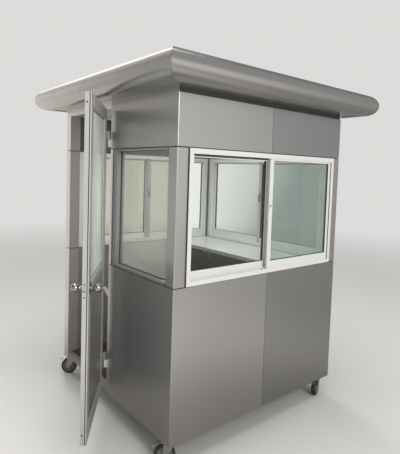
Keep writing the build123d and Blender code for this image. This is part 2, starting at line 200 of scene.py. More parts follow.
class Finish:
    """The surface of one material, worked out from its place on the booth, or the light all round."""

    def __init__(self, name, makes=bpy.data.materials, output="ShaderNodeOutputMaterial",
                 place="Object"):
        self.made = makes.new(name)
        self.made.use_nodes = True
        self.tree = self.made.node_tree
        self.tree.nodes.clear()
        self.output = output
        self.place = self.node("ShaderNodeTexCoord", None, None, place)

    def node(self, kind, settings=None, inputs=None, output=0):
        """Any node, from its settings and the values or levels of its sockets."""
        made = self.tree.nodes.new(kind)
        for name, value in (settings or {}).items():
            if name == "stops":
                stops = made.color_ramp.elements
                stops[1].position = 1
                for where, colour in value[1:-1]:
                    stops.new(where).color = colour
                for stop, (where, colour) in ((stops[0], value[0]), (stops[len(value) - 1], value[-1])):
                    stop.position, stop.color = where, colour
            else:
                setattr(made, name, value)
        for name, value in (inputs or {}).items():
            if isinstance(value, Level):
                self.tree.links.new(value.socket, made.inputs[name])
            else:
                made.inputs[name].default_value = value
        return Level(self, made.outputs[output])

    def across(self, axis):
        """How far along one axis a point lies."""
        return self.node("ShaderNodeSeparateXYZ", None, {0: self.place}, axis)

    def mottle(self, scale, detail=2.0, stretch=(1, 1, 1)):
        """Soft cloudy variation about a half."""
        place = self.node("ShaderNodeVectorMath", {"operation": "MULTIPLY"}, {0: self.place, 1: stretch})
        return self.node("ShaderNodeTexNoise", None, {"Vector": place, "Scale": scale, "Detail": detail})

    def grains(self, scale, output="Distance"):
        """Cells like flakes or crystals."""
        return self.node("ShaderNodeTexVoronoi", None, {"Vector": self.place, "Scale": scale}, output)

    def blend(self, share, one, other):
        """A colour part of the way from one to the other."""
        return self.node("ShaderNodeMix", {"data_type": "RGBA"}, {0: share, 6: one, 7: other}, 2)

    def relief(self, height, deep, under=None):
        """Turns a height into shading."""
        inputs = {"Height": height, "Distance": deep, "Strength": 1.0}
        if under:
            inputs["Normal"] = under
        return self.node("ShaderNodeBump", None, inputs)

    def coat(self, **inputs):
        """The finish itself, as a Principled shader. Underscores stand for spaces."""
        sockets = {name.replace("_", " "): value for name, value in inputs.items()}
        return self.node("ShaderNodeBsdfPrincipled", None, sockets)

    def done(self, shader):
        """Ends the surface or the light with its shader."""
        end = self.tree.nodes.new(self.output)
        self.tree.links.new(shader.socket, end.inputs["Surface"])
        return self.made


def grey(level, warmth=0.0):
    """A grey as linear light; warmth above 0 leans to red, below to blue."""
    return (level * (1 + warmth), level, level * (1 - warmth), 1.0)


def silver_panel(name, tone, warmth=0.01, right_half_painted_shade=0.0, rough=0.27):
    """Metallic lacquer on aluminium panel: fine flakes, a slow wave in the sheet, faint hand marks. It can
    darken the half past the middle seam, a painted shade.
    """
    f = Finish(name)
    slow = f.mottle(1.1, 1.0)
    marks = f.mottle(7.0, 4.0, (1, 1, 0.35))
    flakes = f.grains(2600.0)
    base = f.blend(slow, grey(tone * 0.93, warmth), grey(tone * 1.07, warmth))
    base = f.blend(flakes.within(0.35, 0.8) * 0.16, base, grey(tone * 1.35, warmth))
    # Painted shade: the half past the middle seam is darkened, for the dimmer surroundings it mirrors
    if right_half_painted_shade:
        shaded_right_half = f.across("X").above(LEFT + MIDDLE)
        base = f.blend(shaded_right_half * right_half_painted_shade, base, grey(tone * 0.35, -0.01))
    roughness = rough + marks * 0.07 + flakes * 0.04
    wave = f.relief(f.mottle(1.7, 0.0), 5 * MM)
    normal = f.relief(f.mottle(420.0, 1.0), 0.02 * MM, wave)
    return f.done(f.coat(Base_Color=base, Metallic=0.82, Roughness=roughness, Normal=normal,
                         Specular_IOR_Level=0.5))


def white_enamel():
    """Powder coat on the window extrusions: faint orange peel, a trace of handling grey."""
    f = Finish("white_enamel")
    soil = f.mottle(9.0, 5.0).within(0.55, 0.85)
    base = f.blend(soil * 0.35, grey(0.80, 0.006), grey(0.66, 0.02))
    normal = f.relief(f.mottle(620.0, 1.0), 0.03 * MM)
    return f.done(f.coat(Base_Color=base, Roughness=0.3 + soil * 0.15, Normal=normal))


def lacquered_bar(name, tone, warmth, metallic, rough):
    """Extruded aluminium with a satin lacquer, faintly clouded."""
    f = Finish(name)
    soil = f.mottle(6.0, 4.0)
    base = f.blend(soil.within(0.4, 0.8) * 0.3, grey(tone, warmth), grey(tone * 0.82, warmth + 0.02))
    normal = f.relief(f.mottle(500.0, 1.0), 0.012 * MM)
    return f.done(f.coat(Base_Color=base, Metallic=metallic, Roughness=rough + soil * 0.08, Normal=normal))


def float_glass(name, tint, film, haze, mirror, grime=0.5):
    """Clear float glass with the green of its iron, and a film of dust that scatters a little."""
    f = Finish(name)
    dust = f.mottle(2.2, 5.0, (1, 1, 0.6)).within(0.45, 0.8)
    glass = f.coat(Base_Color=tint, Roughness=0.0, IOR=1.5, Transmission_Weight=1.0,
                   Specular_IOR_Level=mirror)
    powder = f.coat(Base_Color=(grime, grime * 1.07, grime, 1), Roughness=0.6)
    dusty = f.node("ShaderNodeMixShader", None, {0: film + dust * haze, 1: glass, 2: powder})
    lamp_ray = f.node("ShaderNodeLightPath", None, None, "Is Shadow Ray")
    clear = f.node("ShaderNodeBsdfTransparent", None, {"Color": tint})
    return f.done(f.node("ShaderNodeMixShader", None, {0: lamp_ray, 1: dusty, 2: clear}))


def galvanised():
    """Hot-dip zinc: pale and dark spangle."""
    f = Finish("galvanised_steel")
    spangle = f.grains(90.0, "Color")
    cloud = f.mottle(14.0, 3.0)
    base = f.blend(spangle * 0.6, (0.30, 0.31, 0.29, 1), (0.52, 0.53, 0.49, 1))
    return f.done(f.coat(Base_Color=base, Metallic=0.7, Roughness=0.35 + cloud * 0.25,
                         Normal=f.relief(cloud, 0.3 * MM)))


def plated(name, tone, warmth, rough, scratch=160.0):
    """Bright plating or brushed stainless: fine lines and smears."""
    f = Finish(name)
    brush = f.mottle(scratch, 2.0, (1, 1, 9))
    smear = f.mottle(30.0, 3.0)
    base = f.blend(smear, grey(tone, warmth), grey(tone * 0.8, warmth))
    return f.done(f.coat(Base_Color=base, Metallic=1.0, Roughness=rough + brush * 0.12 + smear * 0.05,
                         Normal=f.relief(brush, 0.02 * MM)))


def rubber(name, tone, dust):
    """Matt rubber or moulded plastic, with pale dust in its dull places."""
    f = Finish(name)
    grime = f.mottle(60.0, 4.0).within(0.45, 0.75)
    base = f.blend(grime * dust, grey(tone, 0.02), (0.17, 0.15, 0.13, 1))
    return f.done(f.coat(Base_Color=base, Roughness=0.55 + grime * 0.25,
                         Normal=f.relief(f.mottle(900.0, 2.0), 0.05 * MM)))


def floor_board():
    """Dark red-brown film-faced board, worn and dusty."""
    f = Finish("floor_board")
    grain = f.mottle(26.0, 5.0, (0.25, 4, 1))
    dust = f.mottle(5.0, 5.0).within(0.5, 0.75)
    base = f.blend(grain, (0.050, 0.022, 0.014, 1), (0.105, 0.046, 0.028, 1))
    base = f.blend(dust * 0.35, base, (0.24, 0.20, 0.16, 1))
    return f.done(f.coat(Base_Color=base, Roughness=0.38 + dust * 0.3, Normal=f.relief(grain, 0.3 * MM)))


def board(name, tone, warmth, rough):
    """Smooth faced board with a faint texture."""
    f = Finish(name)
    cloud = f.mottle(5.0, 4.0)
    base = f.blend(cloud, grey(tone * 0.95, warmth), grey(tone * 1.04, warmth))
    return f.done(f.coat(Base_Color=base, Roughness=rough + cloud * 0.08,
                         Normal=f.relief(f.mottle(700.0, 2.0), 0.04 * MM)))


CLADDING = silver_panel("silver_panel", 0.46)
# The front's cladding, with painted shade on its right half
FRONT_CLADDING = silver_panel("silver_panel_front", 0.46, right_half_painted_shade=0.32)
# A paler, creamier copy of the cladding for the posts by the doorway and its head: a painted highlight
POST_SILVER_PAINTED_HIGHLIGHT = silver_panel("cream_post_panel", 0.76, 0.045, rough=0.38)
REVEAL_SILVER = lacquered_bar("reveal_panel", 0.36, 0.04, 0.2, 0.4)
ROOF_SILVER = silver_panel("silver_roof_sheet", 0.42, 0.02, rough=0.2)
# Near black for the set-back strip under the soffit: painted shade
STRIP_PAINTED_SHADE = silver_panel("strip_over_panels", 0.10, 0.02)
LEAF_SILVER = lacquered_bar("leaf_aluminium", 0.62, 0.01, 0.5, 0.34)
LEAF_PANEL = silver_panel("leaf_panel", 0.49, -0.01)
WHITE = white_enamel()
SIDE_BAR = lacquered_bar("grey_aluminium", 0.36, -0.01, 0.4, 0.34)
PALE_BAR = lacquered_bar("pale_aluminium", 0.50, 0.0, 0.2, 0.4)
# A grey copy of the white powder coat for the recessed meeting stiles: painted shade
STILE_GREY_PAINTED_SHADE = lacquered_bar("grey_interlock", 0.50, 0.0, 0.2, 0.4)
GLASS = float_glass("green_float_glass", (0.925, 0.955, 0.93, 1), 0.0, 0.03, 0.05)
DUSTY_GLASS = float_glass("dusty_float_glass", (0.76, 0.90, 0.84, 1), 0.16, 0.14, 0.3, 0.34)
SIDE_GLASS = float_glass("side_float_glass", (0.94, 0.95, 0.90, 1), 0.06, 0.08, 0.6, 0.66)
DOOR_GLASS = float_glass("door_float_glass", (0.88, 0.95, 0.91, 1), 0.45, 0.45, 0.5, 0.92)
GALVANISED = galvanised()
STAINLESS = plated("satin_stainless", 0.40, 0.05, 0.05)
KEY_METAL = plated("dull_key_metal", 0.52, 0.04, 0.35)
ZINC = plated("bright_zinc", 0.72, -0.01, 0.22, 60.0)
TYRE = rubber("tyre_rubber", 0.018, 0.5)
SEAL = rubber("black_gasket", 0.015, 0.2)
SEALANT = rubber("grey_sealant", 0.045, 0.3)
WHEEL_CORE = rubber("grey_wheel_core", 0.16, 0.6)
# A brown brush seal, dark also as a painted shade of the window head's channel
BRUSH_SEAL_AND_SHADE = rubber("brown_brush_seal", 0.05, 0.9)
# Near black: the black guides and stops, and a painted shade for screw recesses, holes, the keyway and the
# pull's hollow, drawn as flat dark shapes
BLACK_PARTS_AND_HOLE_SHADE = rubber("dark_hole", 0.004, 0.0)
FLOOR = floor_board()
WORKTOP = board("white_worktop", 0.88, 0.0, 0.16)
LINING = board("grey_lining", 0.56, 0.02, 0.4)
# Lining boards in darker copies where the inside is in shade: painted shade
DOORWAY_LINING_PAINTED_SHADE = board("doorway_lining", 0.21, 0.04, 0.4)
UPPER_LINING_PAINTED_SHADE = board("upper_lining", 0.09, 0.02, 0.5)
LINING_PAINTED_SHADE = board("dark_lining", 0.03, 0.05, 0.5)
CEILING = board("white_ceiling", 0.74, 0.01, 0.5)


class Piece:
    """A piece in the making. Its parts are drawn in a plan of their own, and place carries them to the
    booth. It has one main finish, and a part may name another."""

    def __init__(self, name, finish, place=BOOTH):
        self.name = name
        self.finishes = [finish]
        self.place = place
        self.mesh = bmesh.new()

    def take(self, part, ease=0.0, finish=None, place=HERE):
        """Eases the sharp edges of a part and adds it to the piece."""
        finish = finish or self.finishes[0]
        if finish not in self.finishes:
            self.finishes.append(finish)
        bmesh.ops.recalc_face_normals(part, faces=part.faces)
        if ease:
            sharp = [e for e in part.edges if e.is_manifold and e.calc_face_angle(0) > SHARP]
            bmesh.ops.bevel(part, geom=sharp, offset=ease, segments=2, profile=0.5, affect="EDGES",
                            clamp_overlap=True)
        for face in part.faces:
            face.material_index = self.finishes.index(finish)
        part.transform(self.place @ place)
        bmesh.ops.recalc_face_normals(part, faces=part.faces)
        scrap = bpy.data.meshes.new("scrap")
        part.to_mesh(scrap)
        part.free()
        self.mesh.from_mesh(scrap)
        bpy.data.meshes.remove(scrap)

    def slab(self, low, high, ease=EASE, finish=None, place=HERE):
        """A board between two corners, with eased edges."""
        part = bmesh.new()
        size = [b - a for a, b in zip(low, high)]
        middle = [(a + b) / 2 for a, b in zip(low, high)]
        bmesh.ops.create_cube(part, size=1, matrix=Matrix.Translation(middle) @ Matrix.Diagonal((*size, 1)))
        self.take(part, ease, finish, place)

    def run(self, outline, start, end, axes="xyz", ease=EASE, finish=None, slopes=(0, 0), place=HERE):
        """Runs an outline from start to end. axes says which axes its two measures and the run take,
        and slopes how far each end leans with the first measure, for mitres."""
        part = bmesh.new()
        rings = []
        for reach, slope in zip((start, end), slopes):
            ring = []
            for a, b in outline:
                spot = dict(zip(axes, (a, b, reach + slope * a)))
                ring.append(part.verts.new([spot[axis] for axis in "xyz"]))
            rings.append(ring)
        part.faces.new(rings[0])
        part.faces.new(rings[1])
        for i in range(len(outline)):
            part.faces.new((rings[0][i - 1], rings[0][i], rings[1][i], rings[1][i - 1]))
        self.take(part, ease, finish, place)

    def run_round_booth(self, outline, ease=EASE, finish=None, gap=0.0):
        """Four mitred lengths along the sides of the booth. The outline is drawn as (into the wall, up)."""
        for number in range(4):
            self.run(outline, gap, PLAN - gap, "yzx", ease, finish, (1, -1), quarter_turns(number))

    def surround(self, u0, u1, z0, z1, outline, ease=0.5 * MM, finish=None, gap=0.25 * MM, place=HERE):
        """Four mitred bars round an opening. The outline is drawn as (inwards, into the wall)."""
        spots = (
            (shift(u0, 0, z0), u1 - u0),
            (shift(u1, 0, z0) @ spin(-QUARTER, "Y"), z1 - z0),
            (shift(u1, 0, z1) @ spin(2 * QUARTER, "Y"), u1 - u0),
            (shift(u0, 0, z1) @ spin(QUARTER, "Y"), z1 - z0),
        )
        for spot, length in spots:
            self.run(outline, gap, length - gap, "zyx", ease, finish, (1, -1), place @ spot)

    def turned(self, profile, foot, axis=UP, steps=24, finish=None, place=HERE):
        """Turns a profile of (radius, height) round an axis that stands on foot."""
        part = bmesh.new()
        whole_turn = [2 * math.pi * i / steps for i in range(steps)]
        rings = []
        for radius, height in profile:
            angles = whole_turn if radius else [0]
            ring = [(radius * math.cos(t), radius * math.sin(t), height) for t in angles]
            rings.append([part.verts.new(spot) for spot in ring])
        for low, high in zip(rings, rings[1:]):
            for i in range(steps):
                j = (i + 1) % steps
                corners = (low[i % len(low)], low[j % len(low)], high[j % len(high)], high[i % len(high)])
                part.faces.new(list(dict.fromkeys(corners)))
        self.take(part, 0, finish, standing(foot, axis, place))

    def screw(self, spot, axis, radius, finish):
        """A pan-head screw with a cross recess, standing on spot. The recess is two dark bars on the head,
        a painted shade.
        """
        rise = radius * 0.5
        rim = rise * 0.3
        dome = [(0, -rim), (radius, -rim), (radius, rim)]
        dome += [(radius * math.cos(t), rim + (rise - rim) * math.sin(t)) for t in (0.4, 0.8, 1.2)]
        self.turned(dome + [(0, rise)], spot, axis, 16, finish)
        long, short = radius * 0.62, radius * 0.14
        for a, b in ((long, short), (short, long)):
            self.slab((-a, -b, rise * 0.6), (a, b, rise * 1.03), 0, BLACK_PARTS_AND_HOLE_SHADE, standing(spot, axis))

    def done(self, body, slot, *replaced):
        """Makes the piece, in the place of the nodes that it stands for."""
        mesh = bpy.data.meshes.new(self.name)
        self.mesh.to_mesh(mesh)
        self.mesh.free()
        for finish in self.finishes:
            mesh.materials.append(finish)
        mesh.shade_smooth()
        mesh.set_sharp_from_angle(angle=SHARP)
        piece = bpy.data.objects.new(self.name, mesh)
        bpy.context.scene.collection.objects.link(piece)
        piece.modifiers.new("flat_faces_stay_flat", "WEIGHTED_NORMAL").keep_sharp = True
        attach(piece, body)
        if replaced:
            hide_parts(*replaced)


def arc(centre, radius, start, end, steps):
    """Points on a round, with angles in degrees."""
    angles = [math.radians(start + (end - start) * i / steps) for i in range(steps + 1)]
    return [(centre[0] + radius * math.cos(t), centre[1] + radius * math.sin(t)) for t in angles]


def disc(radius, top, foot=0.0):
    """The profile of a plain round."""
    return [(0, foot), (radius, foot), (radius, top), (0, top)]


# Walls and posts

def fold_points(at_left):
    """The half of a rounded corner that belongs to one side, from its face to the mitre."""
    half = arc((FOLD, FOLD), FOLD, 270, 225, 4)
    return half if at_left else [(PLAN - u, v) for u, v in half]


def face_sheet(piece, u0, u1, z0, z1, deep=SHEET):
    """One panel of the cladding. It reaches round the corner fold where it starts or ends on one."""
    outline = [(deep, deep)] + fold_points(True)[::-1] if u0 == 0 else [(u0, deep), (u0, 0)]
    outline += fold_points(False) + [(PLAN - deep, deep)] if u1 == PLAN else [(u1, 0), (u1, deep)]
    piece.run(outline, z0, z1)


def wall_core(piece, start, z0, z1):
    """The body of a wall behind its panels, mitred at the corners of the booth."""
    deep, back = SHEET - 1 * MM, WALL - 2 * MM
    left = (start, start) if start else (deep, back)
    outline = [(left[0], deep), (PLAN - deep, deep), (PLAN - back, back), (left[1], back)]
    piece.run(outline, z0 + EASE, z1 - 0.2 * MM, ease=0, finish=SEALANT)


def clad_wall(side):
    """A wall's two bands of panels: left and right of its middle seam, or up to the doorway. Behind
    them are its core and the lining boards inside, pale low down; painted shade darkens them under the
    worktop, near the doorway and above the windows."""
    top = FRONT_TOP if side in ("front", "back") else SOFFIT
    start = PLAN - DOORWAY_NEAR if side == "left" else 0
    spans = ((start, PLAN),) if start else ((0, MIDDLE - SEAM / 2), (MIDDLE + SEAM / 2, PLAN))
    cladding = FRONT_CLADDING if side == "front" else CLADDING
    lower = Piece(side + "_lower_cladding", cladding, side_place(side))
    upper = Piece(side + "_upper_cladding", cladding, side_place(side))
    lower_top, upper_bottom = BAND_BOTTOM - OPEN_JOINT, BAND_TOP + OPEN_JOINT
    for u0, u1 in spans:
        face_sheet(lower, u0, u1, SKIRT_BOTTOM, lower_top, SKIRT_SHEET)
        face_sheet(upper, u0, u1, upper_bottom, top)
    core, room = 0, WALL
    if start:
        core = room = start + 1 * MM
        lower.slab((start, SKIRT_SHEET, BASE_TOP), (start + SKIRT_SHEET, WALL, lower_top))
        upper.slab((start, SHEET, upper_bottom), (start + SKIRT_SHEET, WALL, top))
    end = PLAN - WALL
    # Painted shade: the lower lining is darkened under the worktop and near the doorway, and the upper
    # lining all round
    boards = {
        "right": ((room, end, LINING_PAINTED_SHADE),),
        "back": ((room, WORKTOP_EDGE, LINING_PAINTED_SHADE), (WORKTOP_EDGE, DOORWAY_BOARD, LINING),
                 (DOORWAY_BOARD, end, DOORWAY_LINING_PAINTED_SHADE)),
    }
    lower_boards = boards.get(side, ((room, end, LINING),))
    upper_boards = ((room, end, UPPER_LINING_PAINTED_SHADE),)
    for piece, z0, z1, linings in ((lower, BASE_TOP, BAND_BOTTOM, lower_boards),
                                   (upper, BAND_TOP, top, upper_boards)):
        wall_core(piece, core, z0, z1)
        for u0, u1, lining in linings:
            piece.slab((u0, WALL - 3 * MM, z0 + EASE), (u1, WALL, z1 - EASE), finish=lining)
    lower.done("booth", "cladding", side + "_lower_wall")
    upper.done("booth", "cladding", side + "_upper_wall")


def post_outline(wide):
    """Section of a corner post, with its outer corner folded."""
    return [(wide, WALL), (wide, 0)] + arc((FOLD, FOLD), FOLD, 270, 180, 8) + [(0, WALL)]


def corner_post(name, side):
    """A square post in the window band, seen as the left end of its side, with an angle inside in the
    darkened lining: a painted shade in the room's corner.
    """
    post = Piece(name + "_cladding", CLADDING, side_place(side))
    post.run(post_outline(WALL), BAND_BOTTOM, BAND_TOP)
    inner, outer = WALL + 1.5 * MM, WALL + 12 * MM
    angle = [(WALL, WALL), (outer, WALL), (outer, inner), (inner, inner), (inner, outer), (WALL, outer)]
    post.run(angle, BAND_BOTTOM, BAND_TOP, ease=0.4 * MM, finish=LINING_PAINTED_SHADE)
    post.done("booth", "cladding", name)


def door_posts():
    """The corner post past the doorway, in three lengths with open joints between them, the post
    before the doorway, and the head over it."""
    # The posts and the head take the pale cream copy of the cladding, a painted highlight
    post = Piece("door_post_cladding", POST_SILVER_PAINTED_HIGHLIGHT, side_place("left"))
    face, core = WALL - 2 * MM, WALL - 5 * MM
    lengths = (
        (BASE_TOP, BAND_BOTTOM - OPEN_JOINT),
        (BAND_BOTTOM, BAND_TOP),
        (BAND_TOP + OPEN_JOINT, SOFFIT),
    )
    for z0, z1 in lengths:
        post.run(post_outline(face), z0, z1)
        post.slab((face, 0, z0), (WALL, WALL, z1), 0.5 * MM, REVEAL_SILVER)
    post.slab((SHEET, SHEET, BASE_TOP + EASE), (core, core, SOFFIT - EASE), 0, SEALANT)
    skirt = [(WALL, 0)] + arc((FOLD, FOLD), FOLD, 270, 180, 8) + [(0, WALL), (SKIRT_SHEET, WALL)]
    post.run(skirt + [(SKIRT_SHEET, SKIRT_SHEET), (WALL, SKIRT_SHEET)], SKIRT_BOTTOM, BASE_TOP)
    post.done("booth", "cladding", "door_post")
    near = Piece("door_hinge_post_cladding", POST_SILVER_PAINTED_HIGHLIGHT)
    near.slab((0, WINDOW_END, BAND_BOTTOM), (WALL, DOORWAY_NEAR, BAND_TOP))
    near.done("booth", "cladding", "door_hinge_post")
    head = Piece("door_head_cladding", POST_SILVER_PAINTED_HIGHLIGHT)
    head.slab((0, DOORWAY_NEAR, DOORWAY_HEAD), (WALL, DOORWAY_FAR, SOFFIT))
    head.done("booth", "cladding", "door_head")


# Base, floor, worktop and ceiling

def base_frame():
    """Galvanised box section, with a weld where each cross rail meets a side rail."""
    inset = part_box("base_frame")[0].x - LEFT
    rail, round_edge = 60 * MM, 3 * MM
    span = PLAN - inset
    inner0, inner1 = inset + rail, span - rail
    base = Piece("base_frame_tubes", GALVANISED)
    for y in (inset, span - rail):
        base.slab((inset, y, BASE_BOTTOM), (span, y + rail, BASE_TOP), round_edge)
    for x in (inset, span - rail):
        base.slab((x, inner0, BASE_BOTTOM), (x + rail, inner1, BASE_TOP), round_edge)
    for number in (1, 2):
        y = inner0 + (inner1 - inner0) * number / 3 - rail / 2
        base.slab((inner0, y, BASE_BOTTOM), (inner1, y + rail, BASE_TOP), round_edge)
        for x in (inner0, inner1):
            base.turned(weld_bead(rail), (x, y, BASE_BOTTOM), INTO, 8)
    base.done("booth", "galvanised_steel", "base_frame")


def weld_bead(length):
    """A lumpy bead, as a turned profile."""
    radius, swell, lumps, beat = 3.2 * MM, 0.7 * MM, 14, 2.4
    bead = [(radius + swell * math.sin(i * beat), length * i / lumps) for i in range(lumps + 1)]
    return [(0, 0)] + bead + [(0, length)]


def floor_boards():
    """Two boards screwed to the base, and the strip in the doorway."""
    low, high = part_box("floor")
    floor = Piece("floor_boards", FLOOR)
    gap, from_side, from_end, screws = 0.4 * MM, 25 * MM, 40 * MM, 6
    step = (PLAN - 2 * (WALL + from_end)) / (screws - 1)
    for y0, y1 in ((WALL, MIDDLE - gap), (MIDDLE + gap, PLAN - WALL)):
        floor.slab((WALL, y0, low.z), (PLAN - WALL, y1, high.z))
        for i in range(screws):
            for y in (y0 + from_side, y1 - from_side):
                floor.screw((WALL + from_end + i * step, y, high.z), UP, 4 * MM, ZINC)
    floor.slab((low.x - LEFT, DOORWAY_NEAR, low.z), (WALL - gap, DOORWAY_FAR, high.z))
    floor.done("booth", "floor_sheet", "floor")


def threshold():
    """A grooved strip across the foot of the doorway."""
    low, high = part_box("threshold")
    x0, x1 = low.x - LEFT, high.x - LEFT
    margin, grooves, groove = 2 * MM, 5, high.z - 1.2 * MM
    step = (x1 - x0 - 2 * margin) / grooves
    outline = [(x0, low.z), (x1, low.z), (x1, high.z)]
    for i in range(grooves):
        x = x1 - margin - i * step
        outline += [(x - 0.2 * step, groove), (x - 0.6 * step, groove), (x - 0.8 * step, high.z)]
    sill = Piece("threshold_strip", GALVANISED)
    sill.run(outline + [(x0, high.z)], DOORWAY_NEAR, DOORWAY_FAR, "xzy", 0)
    sill.done("booth", "galvanised_steel", "threshold")


def worktop():
    """White board with a rounded edge strip, on three brackets."""
    low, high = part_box("worktop")
    x0, x1 = low.x - LEFT, high.x - LEFT
    z0, z1 = low.z, high.z
    top = Piece("worktop_board", WORKTOP)
    edge = x0 + 3 * MM
    top.slab((edge, WALL, z0), (x1, PLAN - WALL, z1 - 0.4 * MM), 0.5 * MM)
    top.slab((x0, WALL + MM, z0 - 1 * MM), (edge, PLAN - WALL - MM, z1), 1 * MM, SIDE_BAR)
    reach, drop, from_end = 260 * MM, 190 * MM, 60 * MM
    half, web = 16 * MM, 3 * MM
    under, wall = z0 - 4 * MM, x1 - 4 * MM
    brace_top = x1 - reach * 0.8
    brace = [(brace_top, under), (brace_top + 22 * MM, under), (wall, z0 - 160 * MM), (wall, z0 - 178 * MM)]
    for y in (WALL + from_end, MIDDLE, PLAN - WALL - from_end):
        top.slab((x1 - reach, y - half, under), (x1, y + half, z0), finish=SIDE_BAR)
        top.slab((wall, y - half, z0 - drop), (x1, y + half, under), finish=SIDE_BAR)
        top.run(brace, y - web, y + web, "xzy", finish=SIDE_BAR)
    top.done("booth", "worktop_board", "worktop")


def ceiling():
    """Board ceiling with a cover strip on its joint and round its edge."""
    low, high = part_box("ceiling")
    z0, z1 = low.z, high.z
    boards = Piece("ceiling_boards", CEILING)
    gap, half, thick, cove = 0.5 * MM, 15 * MM, 3 * MM, 20 * MM
    wall, edge = WALL, WALL + cove
    boards.slab((wall, wall, z0), (MIDDLE - gap, PLAN - wall, z1))
    boards.slab((MIDDLE + gap, wall, z0), (PLAN - wall, PLAN - wall, z1))
    boards.slab((MIDDLE - half, edge, z0 - thick), (MIDDLE + half, PLAN - edge, z0), finish=WHITE)
    outline = [(wall, z0), (wall, z0 - cove), (wall + thick, z0 - cove), (edge, z0 - thick), (edge, z0)]
    boards.run_round_booth(outline, finish=WHITE)
    boards.done("booth", "ceiling_board", "ceiling")


# Windows

def window_frame_outline():
    """Section of the sliding frame: a plain bar with a lip at its inner face."""
    inner = FRAME_DEPTH - FRAME_PROUD
    lip, lip_face = FRAME_BAR + 6 * MM, inner - 3 * MM
    return [(0, -FRAME_PROUD), (FRAME_BAR, -FRAME_PROUD), (FRAME_BAR, lip_face), (lip, lip_face),
            (lip, inner), (0, inner)]


def sash(piece, u0, u1, z0, z1, face, stiles):
    """Stiles run full height, with the rails between them, and a black gasket holds the pane. The inner
    sash's meeting stile, and a strip on the side of the outer one, are grey: painted shade of the white
    stiles."""
    back = face + SASH_THICK
    left, right = u0 + stiles[0], u1 - stiles[1]
    low, high = z0 + SASH_BOTTOM, z1 - SASH_TOP
    gap, round_edge = 0.3 * MM, 1 * MM
    inner = face == INNER_SASH
    piece.slab((u0, face, z0), (left, back, z1), round_edge)
    # The inner sash's meeting stile is grey, a painted shade
    piece.slab((right, face, z0), (u1, back, z1), round_edge, STILE_GREY_PAINTED_SHADE if inner else WHITE)
    # A grey strip on the side of the outer meeting stile: painted shade
    if not inner:
        piece.slab((u0 - 0.5 * MM, face + 1.5 * MM, z0), (u0 + 2 * MM, back - 1 * MM, z1), 0.3 * MM,
                   STILE_GREY_PAINTED_SHADE)
    for a, b in ((z0, low), (high, z1)):
        piece.slab((left + gap, face, a), (right - gap, back, b), round_edge)
    middle = (face + back) / 2
    pane = middle - PANE_THICK / 2
    outer = [(0, face + 1.2 * MM), (1 * MM, face + 1.6 * MM), (2.6 * MM, pane), (0, pane)]
    for strip in (outer, [(a, 2 * middle - b) for a, b in outer]):
        piece.surround(left, right, low, high, strip, 0.2 * MM, SEAL, 0)


def sliding_window(side):
    """A frame in the band between two posts, with two sashes that pass each other, seen from outside
    with the outer one at the right."""
    place = side_place(side)
    u0, u1 = WALL, PLAN - WALL
    left, right = u0 + FRAME_BAR, u1 - FRAME_BAR
    sill, head = BAND_BOTTOM + FRAME_SILL, BAND_TOP - FRAME_BAR
    rim = Piece(side + "_window_extrusions", WHITE, place)
    rim.surround(u0 + 0.6 * MM, u1 - 0.6 * MM, BAND_BOTTOM, BAND_TOP, window_frame_outline(), 0.7 * MM)
    # The head's lip, and the ribs and brush seal between its two tracks. The seal's dark is partly its own
    # colour and partly a painted shade of the channel under the lip
    rib0, rib1 = 22.5 * MM, 25.5 * MM
    brush = head - 14.5 * MM
    rim.slab((left, -FRAME_PROUD, head - 2.5 * MM), (right, 2 * MM - FRAME_PROUD, head), 0.3 * MM)
    rim.slab((left, rib0, sill), (right, rib1, sill + 8 * MM), 0.3 * MM)
    rim.slab((left, rib0, brush), (MIDDLE, rib1, head), 0, BRUSH_SEAL_AND_SHADE)
    rim.slab((left, rib0 - 1 * MM, head - 20 * MM), (MIDDLE, rib1, brush), 0.5 * MM)
    # The dark seal between the outer sash and its jamb, and the sealant beside the frame
    rim.slab((right - 0.8 * MM, -8.5 * MM, sill), (right, rib0, head), 0, SEAL)
    for u, way in ((u0, 1), (u1, -1)):
        bead = [(u + way * a, b) for a, b in mm((-4, 0), (-1, -8.5), (0.6, -9), (0.6, 0))]
        rim.run(bead, BAND_BOTTOM + MM, BAND_TOP - MM, ease=0.5 * MM, finish=SEALANT)
    rim.done("booth", "white_aluminium", side + "_window_frame")

    spans = (
        (MIDDLE - SASH_OVERLAP, right, OUTER_SASH, (MEETING_STILE, JAMB_STILE)),
        (left, MIDDLE + SASH_OVERLAP, INNER_SASH, (JAMB_STILE, MEETING_STILE)),
    )
    sashes = Piece(side + "_window_sliders", WHITE, place)
    panes = Piece(side + "_window_glass", GLASS, place)
    play, stand, bite = 1.2 * MM, 0.5 * MM, 2 * MM
    z0, z1 = sill + stand, head - stand
    for start, end, face, stiles in spans:
        sash(sashes, start + play, end - play, z0, z1, face, stiles)
        pane = face + (SASH_THICK - PANE_THICK) / 2
        glass = DUSTY_GLASS if face == OUTER_SASH and side == "front" else GLASS
        low = (start + play + stiles[0] - bite, pane, z0 + SASH_BOTTOM - bite)
        high = (end - play - stiles[1] + bite, pane + PANE_THICK, z1 - SASH_TOP + bite)
        panes.slab(low, high, 0.4 * MM, glass)
    crescent_latch(sashes)
    slider_blocks(sashes)
    sashes.done("booth", "white_aluminium", side + "_window_sashes")
    panes.done("booth", "glass", side + "_window_panes")


